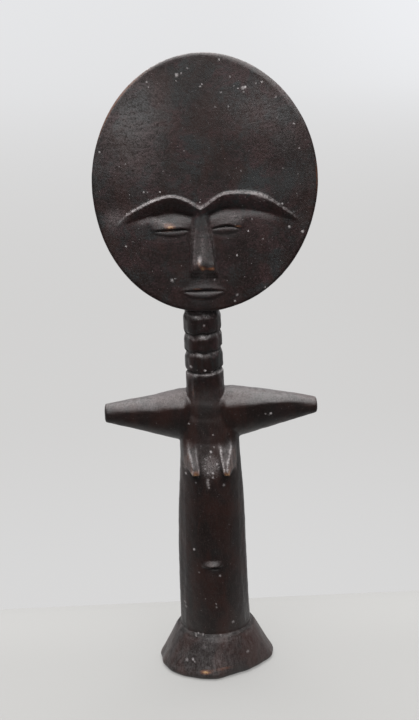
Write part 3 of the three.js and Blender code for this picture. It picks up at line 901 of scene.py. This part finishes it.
# Marks of four kinds: wear rubs the stain off, film is a thin pale layer with painted highlights and sheen,
# grime catches dust, and crevices are dark with stain and painted shade. On the face: strength, then a
# middle and a reach along u, v and, where given, w
# The first row, at the nose's tip, is worn wood that, with the film there, also paints the tip's glint
FACE_WEAR = [
    (1, -2.6, 0.9, -40.4, 2.6, 12.4, 2.5), (0.75, -0.6, 1.6, -44.2, 1.8), (0.66, 4.2, 2.8, -44.2, 1.2),
    (0.7, -18.2, 3.6, -22.4, 1.4), (0.36, -20.5, 4.5, -20.4, 1.8), (0.5, -20.5, 4.5, -24.6, 0.8),
    (0.7, 18, 2.4, -21.6, 0.9), (0.5, -3.6, 4.5, -55.7, 0.6), (0.45, 8.8, 1.8, -56.5, 0.8),
    (0.35, -1.2, 5.5, -61.4, 0.8),
]
# Film on the face, partly pale film and partly painted light: the broad patches high on the forehead are
# dust film and painted sheen, the mark on the right lid is a painted highlight, and the strong one at the
# nose's tip is a painted glint. Marks below zero take film away
FACE_FILM_AND_LIGHT = [
    (0.2, -39, 16, 33, 12), (0.1, 32, 20, 42, 12), (0.08, -36, 15, 50, 8), (0.08, -40, 17, 13, 12),
    (0.05, 44, 8, 25, 8), (0.12, 30, 3, -5.5, 1.5), (-0.045, -4, 14, 17, 17), (-0.07, 44, 12, 5, 6),
    (-0.2, 19, 5, -3.2, 2), (0.22, 17, 3.2, -16.8, 2), (0.1, 0.5, 7, -50.5, 2.4),
    (0.07, 0.3, 6, -47.2, 1.6), (-0.16, 0.3, 9, -59.3, 1.5), (-0.06, 0, 20, -66, 5),
    (1.3, -2.2, 0.75, -40, 1.8), (0.12, -0.8, 1.4, -31.5, 5), (0.2, -48, 5, -18.5, 5),
]
# A painted highlight streak along the left lid, which slopes down to the right by this share
LID_HIGHLIGHT = [(0.35, -22.5, 5.5, -20, 1)]
LID_SLOPE = 0.42
FACE_GRIME = [(0.2, 24, 8, -14, 5), (0.2, -40, 5, -15, 5), (0.14, 40, 12, -40, 14)]
# Crevices across a lid or a lip, dark with stain and painted shade, with painted shade over the lower ridge:
# strength, then a middle and a reach along its profile
LID_CREVICES = {
    "left": [(1, 1.22, 0.2), (0.3, 1.95, 0.4), (0.4, 2.65, 0.4)],
    "right": [(1, 1.22, 0.2), (0.3, 1.95, 0.4), (0.9, 2.65, 0.4)],
}
LIP_CREVICES = [(1, 1.2, 0.16), (0.25, 1.9, 0.4), (0.5, 2.9, 0.25)]
# Dark marks on the face, of stain and painted shade, among them the shade under the nose
FACE_CREVICE = [(0.1, 0.2, 6, -47, 1.5), (0.4, 42, 13, 4, 6), (0.35, -0.6, 0.9, -43.5, 2.2)]
# Marks round the rim: strength, turn in degrees and reach
RIM_WEAR = [(0.55, 138, 30), (0.45, 4, 14)]
# Marks below the head: strength, then a middle and a reach along X, Y and Z
BODY_WEAR = [
    (0.7, -7.6, 3.4, -21.3, 2.8, 123.6, 2.8), (0.7, 10.4, 3.8, -21, 2.8, 122.6, 2.4),
    (0.6, 5.2, 0.8, -20, 3, 127, 1.8), (0.9, -7.2, 3.8, -30.5, 5, 4.9, 1.3),
    (0.55, 5, 9, -30, 6, 6.3, 1.3), (0.45, -6.8, 0.7, -8, 3, 168, 5), (0.35, -1.1, 1, -18.9, 3, 116, 3.5),
]
# Film below the head: pale film and worn lines, with painted sheen in the wide bluish mark low on the foot's
# front
BODY_FILM_AND_SHEEN = [
    (0.07, 0.5, 13, -17, 6, 130, 7), (0.35, -1, 0.8, -18.9, 3, 117.2, 2.6),
    (0.3, -6.9, 0.6, -8, 3, 168, 5), (0.14, -9, 1.6, -4, 5, 167, 6), (0.12, 8.4, 1.8, -5, 5, 167, 6),
    (0.12, -6, 2, -23, 4, 18.5, 2.5), (0.08, 1, 12, -29, 5, 9, 4),
]
BODY_GRIME = [
    (0.46, 1, 8, -17, 6, 127, 8), (0.45, -14, 3.5, -12, 6, 124.5, 3), (0.2, -0.3, 7, -20, 5, 62, 9),
    (0.2, -17, 9, -18, 9, 14, 8),
]
# Crevices below the head, dark with stain and painted shade: on the chest under the neck's foot, under each
# breast and in the navel's notch
BODY_CREVICE = [
    (0.3, 0, 9, -12, 4, 157, 11), (0.8, -7.5, 2.6, -18, 4, 121.2, 0.8),
    (0.8, 10.4, 2.6, -18, 4, 120.3, 0.8),
    (0.9, 0.6, 2.8, -18, 4, NAVEL_NOTCH, 0.9),
]
# The crevice inside the right breast leans to the left going up, by this share of the way
SLANTED_CREVICE = [(0.8, 81.5, 0.5, -19, 3, 125.5, 3)]
CREVICE_SLANT = 0.6


class AKUABA_OT_stain(bpy.types.Operator):
    """Stains, waxes and wears the wood, settles dust on it, and paints highlights, sheen and shade into its
    colour
    """

    bl_idname = "akuaba.stain"
    bl_label = "Stained wood"

    def execute(self, context):
        sizes, finish = context.scene.akuaba_sizes, context.scene.akuaba_finish
        made = bpy.data.objects["carved_figure"]
        self.mark_wear(made.data, sizes)
        material = bpy.data.materials.new("stained_wood")
        material.use_nodes = True
        tree = material.node_tree
        shader = tree.nodes["Principled BSDF"]
        coords, _, y, z = own_places(tree, MM)
        wear, film, grime, crevice = [
            node(tree, "ShaderNodeAttribute", attribute_name=name).outputs["Fac"]
            for name in ("wear", "film", "grime", "crevice")
        ]

        # Stain, thin in some places and thick in others, with reddish streaks, pits, and paler flecks that
        # also paint the fine glints on the body
        blotch = noise(tree, coords, 0.045, 4, 0.6)
        streak = noise(tree, coords, 0.5, 4, 0.65, (1, 1, 0.08), 0.6)
        brush = noise(tree, coords, 0.7, 5, 0.7, (0.3, 0.6, 1), 0.8)
        grain = node(tree, "ShaderNodeMix", {0: rise(tree, z, *HEAD_STAIN), 2: streak, 3: brush}).outputs[0]
        fine = noise(tree, coords, 1.0, 5, 0.75)
        mottle = blend(tree, (blotch, 0.33), (grain, 0.19), (fine, 0.48))
        light = product(tree, rise(tree, mottle, 0.435, 0.585), rise(tree, z, *NECK_STAIN, 0.25, 1.0))
        tint = rise(tree, noise(tree, coords, 0.09, 5, 0.7, (0.7, 1, 0.8), 0.6), 0.43, 0.57)
        thin = mix_colour(tree, tint, finish.stain_grey, finish.stain_light)
        colour = mix_colour(tree, light, finish.stain_dark, thin)
        warm = rise(tree, noise(tree, coords, 0.07, 4, 0.6, (1, 1, 0.5), 0.7), 0.42, 0.66, 0.0, 0.9)
        warm = product(tree, warm, rise(tree, z, *NECK_STAIN, 1.0, 0.45))
        colour = mix_colour(tree, warm, colour, finish.stain_red)
        pits = rise(tree, noise(tree, coords, 0.9, 2, 0.5), 0.36, 0.27, 0.0, 0.7)
        colour = mix_colour(tree, pits, colour, finish.stain_dark)
        fleck = rise(tree, noise(tree, coords, 1.5, 3, 0.7), 0.5, 0.62, 0.0, 0.85)
        above = (rise(tree, z, *NECK_STAIN, 1.0, 0.3), rise(tree, z, *FOOT_STAIN, 0.3, 1.0))
        colour = mix_colour(tree, product(tree, fleck, *above), colour, finish.pale_fleck_and_glint)

        # Wood showing through where the stain is rubbed off
        ragged = blend(tree, (noise(tree, coords, 1.7, 4, 0.7), 0.75), (wear, 1))
        colour = mix_colour(tree, rise(tree, ragged, 0.62, 0.92), colour, finish.rubbed_wood)
        colour = mix_colour(tree, rise(tree, ragged, 0.95, 1.22), colour, finish.bare_wood)

        # Pale film and painted highlights, caught dust and specks, and then the crevices, dark with stain
        # and painted shade
        patchy = rise(tree, blend(tree, (fine, 0.6), (grain, 0.4)), 0.36, 0.62)
        powder = math_node(tree, "MULTIPLY_ADD", grime, 0.35, noise(tree, coords, 3.4, 4, 0.75))
        caught = product(tree, rise(tree, powder, 0.6, 0.78, 0.0, 0.8), rise(tree, grime, 0.05, 0.35))
        specks = self.all_specks(tree, coords, y, grime, sizes)
        pale = math_node(tree, "MAXIMUM", product(tree, film, patchy), caught)
        pale = math_node(tree, "MAXIMUM", pale, specks)
        colour = mix_colour(tree, pale, colour, finish.dust_and_painted_light)
        deepest = product(tree, crevice, rise(tree, fine, 0.3, 0.6, 1.0, 0.75))
        colour = mix_colour(tree, deepest, colour, finish.deep_stain_and_shade)
        tree.links.new(colour, shader.inputs["Base Color"])

        # Gloss of the wax and the fine roughness of the surface
        smooth = blend(tree, (blotch, 0.4), (fine, 0.6))
        rough = rise(tree, smooth, 0.35, 0.65, finish.gloss - 0.08, finish.gloss + 0.1)
        dull = blend(tree, (pale, 0.35), (crevice, 0.45))
        tree.links.new(math_node(tree, "ADD", rough, dull, clamp=True), shader.inputs["Roughness"])
        height = blend(tree, (grain, 0.09), (fine, 0.13), (pits, -0.07), (specks, 0.12))
        bump = node(tree, "ShaderNodeBump", {"Strength": 0.7, "Distance": MM, "Height": height})
        tree.links.new(bump.outputs[0], shader.inputs["Normal"])
        shader.inputs["IOR"].default_value = 1.5
        made.data.materials.clear()
        made.data.materials.append(material)
        return {"FINISHED"}

    def all_specks(self, tree, coords, y, grime, sizes):
        """Pale specks: small ones all over, larger ones at their places on the head and down the front."""
        specks = self.random_specks(tree, coords, grime)
        warped = self.warped(tree, coords)
        for u, v, size, strength in FACE_SPECKS:
            level = float(face_level(np.array(u), np.array(v), sizes))
            at = head_place(sizes) @ (Vector((u + FACE_MARK[0], v + FACE_MARK[1], level)) * MM) / MM
            specks = math_node(tree, "MAXIMUM", specks, self.one_speck(tree, warped, at, size, strength))
        flat = vector_node(tree, "MULTIPLY", {0: warped, 1: (1, 0, 1)})
        below = 0.0
        for x, height, size, strength in BODY_SPECKS:
            speck = self.one_speck(tree, flat, (x, 0, height), size, strength)
            below = math_node(tree, "MAXIMUM", below, speck)
        return math_node(tree, "MAXIMUM", specks, product(tree, below, rise(tree, y, -0.5, -3)))

    def warped(self, tree, coords):
        """Coordinates that wander a little, so that spots come out ragged."""
        wander = node(tree, "ShaderNodeTexNoise", {"Vector": coords, "Scale": 1.6, "Detail": 2.0})
        centred = vector_node(tree, "SUBTRACT", {0: wander.outputs["Color"], 1: (0.5, 0.5, 0.5)})
        scaled = vector_node(tree, "SCALE", {0: centred, 3: 1.6})
        return vector_node(tree, "ADD", {0: coords, 1: scaled})

    def mark_wear(self, mesh, sizes):
        """Marks where the stain is rubbed off, where film and dust lie, where highlights, sheen and shade
        are painted, and the crevices.
        """
        points, up = read_points(mesh), normals_of(mesh)[:, 2]
        x, y, z = points.T
        inward = np.array(head_place(sizes).inverted())
        local = points @ inward[:3, :3].T + inward[:3, 3] / MM
        u, v, w = (local - (*FACE_MARK, 0)).T
        # The face is over the plate's middle by at least 3 mm
        front = (w > 3) & (z > HEAD_FOOT)
        turn = np.degrees(np.arctan2(v, u))
        rim = ramp(oval_share(u, v, sizes), 0.972, 0.992) * (z > HEAD_FOOT)
        uneven = 0.6 + 0.4 * waves(points, 5, 31)

        wear = front * marks(np.add, FACE_WEAR, u, v, w) + marks(np.add, BODY_WEAR, x, y, z)
        wear += rim * marks(np.add, RIM_WEAR, turn)
        # Pale film, partly dust settled on top and partly painted light: faces turned up are painted paler
        # where the overhead light falls, those of the face more so and most on its left side, and the foot
        # below its shelf a little paler
        film = 0.14 * ramp(up, 0.45, 1.0) + 0.08 * ramp(up, 0.15, 0.6) + 0.05 * ramp(z, 23, 21)
        film += front * (0.4 * ramp(up, 0.7, 0.92) + 0.45 * ramp(up, 0.6, 0.9) * ramp(u, -20, -28))
        film += front * marks(np.add, FACE_FILM_AND_LIGHT, u, v) + marks(np.add, BODY_FILM_AND_SHEEN, x, y, z)
        film += front * marks(np.add, LID_HIGHLIGHT, u, v + LID_SLOPE * (u - LID_HIGHLIGHT[0][1]))
        film += front * self.nose_film_and_light(u, v, uneven) + 0.1 * rim * bell(turn, *RIM_WORN)
        film *= 1 - bell(z, FOOT_SHELF, 1.5) * ramp(uneven, 1.1, 0.3)
        for side in BREASTS:
            more_film_and_light, more_wear = self.breast_marks(side, x, y, z, uneven)
            film += more_film_and_light
            wear += more_wear
        grime = marks(np.maximum, BODY_GRIME, x, y, z)
        grime = np.maximum(grime, front * marks(np.maximum, FACE_GRIME, u, v))
        grime = np.maximum(grime, 0.4 * uneven * bell(z, FOOT_SHELF + 0.2, 0.8))
        # Crevices: dark stain and painted shade in the slits, grooves and hollows and under overhangs
        crevice = marks(np.maximum, BODY_CREVICE, x, y, z)
        crevice = np.maximum(crevice, marks(np.maximum, SLANTED_CREVICE, x + CREVICE_SLANT * z, y, z))
        crevice = np.maximum(crevice, front * self.face_crevices(u, v, uneven))
        radius = np.hypot(x, y)
        for height in NECK_GROOVES:
            above = z - height - GROOVE_SLANT * x
            beneath = uneven * bell(above, -1.4, 1.3) * (radius < NECK_REACH)
            grime = np.maximum(grime, 0.5 * beneath)
            # Beneath each groove the ring's top is painted paler: painted light where the overhead light
            # falls, over the dust caught there
            film += 0.16 * beneath
            crevice = np.maximum(crevice, 0.5 * bell(above, 0, 0.6) * (radius < NECK_REACH))
        ledge = bell(z, FOOT_SHELF, 0.8) * (radius > SHELF_START)
        crevice = np.maximum(crevice, np.clip(0.85 + 0.3 * waves(points, 6, 33), 0, 1) * ledge)
        store(mesh, "wear", np.clip(wear, 0, 1))
        store(mesh, "film", np.clip(film, 0, None))
        store(mesh, "grime", grime)
        store(mesh, "crevice", crevice)

    def nose_film_and_light(self, u, v, uneven):
        """Pale film and painted light along the nose's edges, and painted light down its shaded sides."""
        middle, base, flat = lines(NOSE, v, 1, 2, 3)
        aside = np.abs(u - middle)
        sides = ramp(aside, flat, flat + 0.4) * ramp(aside, base + 0.5, base - 0.4)
        film = 0.15 * uneven * bell(aside, flat - 0.3, 0.5) + 0.13 * sides
        return film * ramp(v, -47, -45) * ramp(v, -17, -26)

    def breast_marks(self, side, x, y, z, uneven):
        """Film and wear on one breast: pale film with painted highlights along its ridges, and painted light
        with wear on the facet outside them.
        """
        outer, inner, tip = lines(BREASTS[side], z, 2, 3, 5)
        patchy = (0.7 + 0.5 * uneven) * ramp(z, 140, 134)
        along = patchy * ramp(z, 120, 124) * (y < 2 - tip)
        facet = patchy * ramp(z, 121, 125) * (y < -7) * (np.abs(x - 1) < 15)
        facet *= ramp((x - outer) * np.sign(outer), 0, 0.5)
        strong, between, soft, outside = 0.6, 0, 0.35, 0.22
        if side == "right":
            strong, between, soft, outside = 1.1, 0.09, 1.0, 0.3
            along *= ramp(z, 122, 126.5)
        film = strong * bell(x, outer, 0.6) + 1.2 * soft * bell(x, inner, 0.5)
        film += between * (x > inner) * (x < outer)
        wear = 0.35 * soft * bell(x, inner, 0.7) * ramp(z, 136, 128)
        return along * film + outside * facet, along * wear + 0.35 * facet

    def face_crevices(self, u, v, uneven):
        """Crevices beside the lids and the lips, dark with stain and painted shade, painted shade over the
        ridges of the lower lids and the lower lip, and dark streaks down the nose.
        """
        deep = marks(np.maximum, FACE_CREVICE, u, v)
        streaks = np.maximum(bell(u, -3.8, 0.8), bell(u, 1.3, 1.0))
        deep = np.maximum(deep, 0.3 * streaks * ramp(v, -43, -36) * ramp(v, -20, -30) * uneven)
        foot = brow_relief(u, v)[1]
        for side in EYES:
            reach, place = eye_relief(u, v, side, foot)[1:]
            deep = np.maximum(deep, ramp(reach, 0, 0.5) * marks(np.maximum, LID_CREVICES[side], place))
        reach, place = mouth_relief(u, v)[1:]
        return np.maximum(deep, ramp(reach, 0, 0.4) * marks(np.maximum, LIP_CREVICES, place))

    def random_specks(self, tree, coords, grime):
        """Small pale specks scattered all over, thicker where dust is caught."""
        total = 0.0
        for scale, size, share in ((0.2, 0.08, 0.6), (0.5, 0.16, 0.76), (1.0, 0.24, 0.84)):
            cell = node(tree, "ShaderNodeTexVoronoi", {"Vector": coords, "Scale": scale, "Randomness": 1.0})
            near = rise(tree, cell.outputs["Distance"], size, size * 0.2)
            chance = node(tree, "ShaderNodeSeparateColor", {0: cell.outputs["Color"]}).outputs[0]
            chance = math_node(tree, "MULTIPLY_ADD", grime, 0.35, chance)
            lit = product(tree, near, rise(tree, chance, share, 1.15), 0.75)
            total = math_node(tree, "MAXIMUM", total, lit)
        return total

    def one_speck(self, tree, coords, at, size, strength):
        """One larger speck at its own place."""
        away = node(tree, "ShaderNodeVectorMath", {0: coords, 1: at}, operation="DISTANCE").outputs["Value"]
        return rise(tree, away, size * 1.3, size * 0.3, 0.0, strength)


# The table's far edge, along Y in metres
TABLE_EDGE = 0.0725
# The backdrop's curve up into a wall: number of steps and, in metres, their length and the wall's height
CURVE_STEPS = 12
CURVE_STEP = 0.07
WALL_HEIGHT = 3
# Cards that only reflections in the wax see: name, shader and grey level, then in metres the near and
# far edge along Y, the height, the place across and the width
CARDS = [
    ("dark_card", "ShaderNodeBsdfDiffuse", 0.03, -2.6, -0.07, 0.001, 0, 6),
    ("right_card", "ShaderNodeEmission", 0.3, -0.07, 0.6, 0.0015, 0.53, 0.9),
    ("left_card", "ShaderNodeEmission", 0.42, -0.07, 0.24, 0.0015, -0.53, 0.9),
]
# Lamps: name, place, where it points, width and height, all in metres
LAMPS = [
    ("overhead", (0, -0.1, 1.2), (0, -0.1, 0), 1.6, 2.0),
    ("front_panel", (0, -2.2, 1.45), (0, 0, 0.3), 2.6, 0.9),
]
# Camera: place in metres, turn down, turn to the right and roll in degrees, lens in millimetres
CAMERA_PLACE = (0, -0.85, 0.46)
CAMERA_TURN = (18.017, 0.204, 2.5)
CAMERA_LENS = 80.29


class AKUABA_OT_stage(bpy.types.Operator):
    """Sets the table, the backdrop, the cards, the lamps and the camera"""

    bl_idname = "akuaba.stage"
    bl_label = "Stage"

    def execute(self, context):
        stage = context.scene.akuaba_stage
        table = self.sheet("table_top", -3, TABLE_EDGE, 0)
        shader = self.finish(table, "ShaderNodeBsdfPrincipled")
        shader.inputs["Base Color"].default_value = (*stage.table, 1)
        shader.inputs["Roughness"].default_value = 1
        shader.inputs["Specular IOR Level"].default_value = 0
        shader.inputs["Emission Color"].default_value = (*stage.table_painted_light, 1)
        tree = table.active_material.node_tree
        y = own_places(tree)[2]
        # The glow is painted light, stronger farther back and a little weaker at the far edge
        farther = rise(tree, y, -0.01, 0.055, 1.1, 1.26)
        at_edge = rise(tree, y, 0.062, TABLE_EDGE, 1.0, 0.96)
        tree.links.new(product(tree, farther, at_edge), shader.inputs["Emission Strength"])
        backdrop = self.sheet("backdrop", TABLE_EDGE - 0.001, 2.2, -0.001)
        self.curve_up(backdrop)
        shader = self.finish(backdrop, "ShaderNodeEmission")
        self.shade_backdrop(backdrop.active_material.node_tree, shader, stage)
        for name, kind, level, *spans in CARDS:
            card = self.sheet(name, *spans)
            self.finish(card, kind).inputs["Color"].default_value = (level, level, level, 1)
            card.visible_camera = card.visible_shadow = card.visible_diffuse = False
        self.light(context, stage)
        self.look(context)
        return {"FINISHED"}

    def sheet(self, name, near, far, height, across=0, wide=6):
        """A level sheet from near to far along Y."""
        deselect()
        bpy.ops.mesh.primitive_plane_add(size=1, location=(across, (near + far) / 2, height))
        made = bpy.context.object
        made.name = made.data.name = name
        made.scale = (wide, far - near, 1)
        bpy.ops.object.transform_apply(location=True, rotation=True, scale=True)
        return made

    def curve_up(self, made):
        """Draws the sheet's far edge up in a quarter turn and on into a wall."""
        far = max(vertex.co.y for vertex in made.data.vertices)
        enter("EDIT")
        bpy.ops.mesh.select_all(action="DESELECT")
        enter("OBJECT")
        for edge in made.data.edges:
            edge.select = all(made.data.vertices[i].co.y > far - 0.01 for i in edge.vertices)
        enter("EDIT")
        for i in range(CURVE_STEPS):
            angle = math.radians(90) * (i + 0.5) / CURVE_STEPS
            step = Vector((0, math.cos(angle), math.sin(angle))) * CURVE_STEP
            bpy.ops.mesh.extrude_region_move(TRANSFORM_OT_translate={"value": step})
        bpy.ops.mesh.extrude_region_move(TRANSFORM_OT_translate={"value": (0, 0, WALL_HEIGHT)})
        enter("OBJECT")
        bpy.ops.object.shade_smooth()

    def finish(self, piece, kind):
        """Gives a stage piece a plain material with one shader."""
        material = bpy.data.materials.new(piece.name)
        material.use_nodes = True
        tree = material.node_tree
        tree.nodes.remove(tree.nodes["Principled BSDF"])
        shader = tree.nodes.new(kind)
        tree.links.new(shader.outputs[0], tree.nodes["Material Output"].inputs["Surface"])
        piece.data.materials.append(material)
        return shader

    def shade_backdrop(self, tree, shader, stage):
        """The backdrop glows by itself, and its shading is painted light: a little paler at its foot, and
        palest far behind and to the right.
        """
        x, y, z = own_places(tree)[1:]
        away = math_node(tree, "ADD", y, z)
        far = math_node(tree, "ADD", rise(tree, away, 0.7, 3.0), rise(tree, away, 0.45, 0.07, 0.0, 0.25))
        right = product(tree, rise(tree, x, 0.0, 0.6), rise(tree, away, 0.6, 2.8, -0.25, 0.6))
        inputs = {0: math_node(tree, "ADD", far, right), 6: stage.backdrop_low, 7: stage.backdrop_high}
        steps = node(tree, "ShaderNodeMix", inputs, data_type="RGBA", clamp_factor=False)
        tree.links.new(steps.outputs[2], shader.inputs["Color"])

    def light(self, context, stage):
        """One big soft lamp above, a wide panel in front, and a dim even room."""
        for (name, at, target, wide, tall), power in zip(LAMPS, (stage.overhead, stage.front)):
            aim = (Vector(at) - Vector(target)).to_track_quat("Z", "Y").to_euler()
            bpy.ops.object.light_add(type="AREA", location=at, rotation=aim)
            lamp = bpy.context.object
            lamp.name = name
            lamp.data.shape = "RECTANGLE"
            lamp.data.size = wide
            lamp.data.size_y = tall
            lamp.data.energy = power
        world = bpy.data.worlds.new("room")
        context.scene.world = world
        world.use_nodes = True
        tree = world.node_tree
        dim = tree.nodes["Background"]
        dim.inputs["Strength"].default_value = stage.room
        dim.inputs["Color"].default_value = (1, 1, 1, 1)
        seen = node(tree, "ShaderNodeBackground", {"Color": stage.backdrop_low})
        path = node(tree, "ShaderNodeLightPath")
        both = node(tree, "ShaderNodeMixShader", {0: path.outputs["Is Camera Ray"]})
        tree.links.new(dim.outputs[0], both.inputs[1])
        tree.links.new(seen.outputs[0], both.inputs[2])
        tree.links.new(both.outputs[0], tree.nodes["World Output"].inputs["Surface"])
        context.scene.view_settings.view_transform = "Standard"

    def look(self, context):
        """The camera stands where the photograph was taken from."""
        pitch, yaw, roll = np.radians(CAMERA_TURN).tolist()
        bpy.ops.object.camera_add(location=CAMERA_PLACE)
        camera = bpy.context.object
        level = math.cos(pitch)
        forward = Vector((math.sin(yaw) * level, math.cos(yaw) * level, -math.sin(pitch)))
        right = Vector((math.cos(yaw), -math.sin(yaw), 0))
        up = right.cross(forward)
        across = math.cos(roll) * right - math.sin(roll) * up
        upward = math.sin(roll) * right + math.cos(roll) * up
        camera.rotation_euler = Matrix((across, upward, -forward)).transposed().to_euler()
        camera.data.sensor_width = 36
        camera.data.lens = CAMERA_LENS
        camera.data.dof.use_dof = False
        context.scene.camera = camera


class AKUABA_PT_panel(bpy.types.Panel):
    """Lists the steps in the order they are done"""

    bl_idname = "AKUABA_PT_panel"
    bl_label = "Akuaba figure"
    bl_space_type = "VIEW_3D"
    bl_region_type = "UI"
    bl_category = "Akuaba"

    def draw(self, context):
        scene = context.scene
        for group in (scene.akuaba_sizes, scene.akuaba_finish, scene.akuaba_stage):
            box = self.layout.box()
            for name in group.__annotations__:
                box.prop(group, name)
        for step in STEPS:
            self.layout.operator(step.bl_idname)


GROUPS = {"akuaba_sizes": AkuabaSizes, "akuaba_finish": AkuabaFinish, "akuaba_stage": AkuabaStage}
STEPS = [
    AKUABA_OT_column,
    AKUABA_OT_neck,
    AKUABA_OT_arms,
    AKUABA_OT_breasts,
    AKUABA_OT_head,
    AKUABA_OT_join,
    AKUABA_OT_stain,
    AKUABA_OT_stage,
]


def register():
    """Makes the groups, the steps and the panel known."""
    for made in [*GROUPS.values(), *STEPS, AKUABA_PT_panel]:
        bpy.utils.register_class(made)
    for name, group in GROUPS.items():
        setattr(bpy.types.Scene, name, bpy.props.PointerProperty(type=group))


def unregister():
    """Takes them away again."""
    for name in GROUPS:
        delattr(bpy.types.Scene, name)
    for made in reversed([*GROUPS.values(), *STEPS, AKUABA_PT_panel]):
        bpy.utils.unregister_class(made)


def main():
    """Makes the steps known, carves the figure step by step and sets the stage."""
    register()
    bpy.ops.akuaba.column()
    bpy.ops.akuaba.neck()
    bpy.ops.akuaba.arms()
    bpy.ops.akuaba.breasts()
    bpy.ops.akuaba.head()
    bpy.ops.akuaba.join()
    bpy.ops.akuaba.stain()
    bpy.ops.akuaba.stage()


if __name__ == "__main__":
    main()
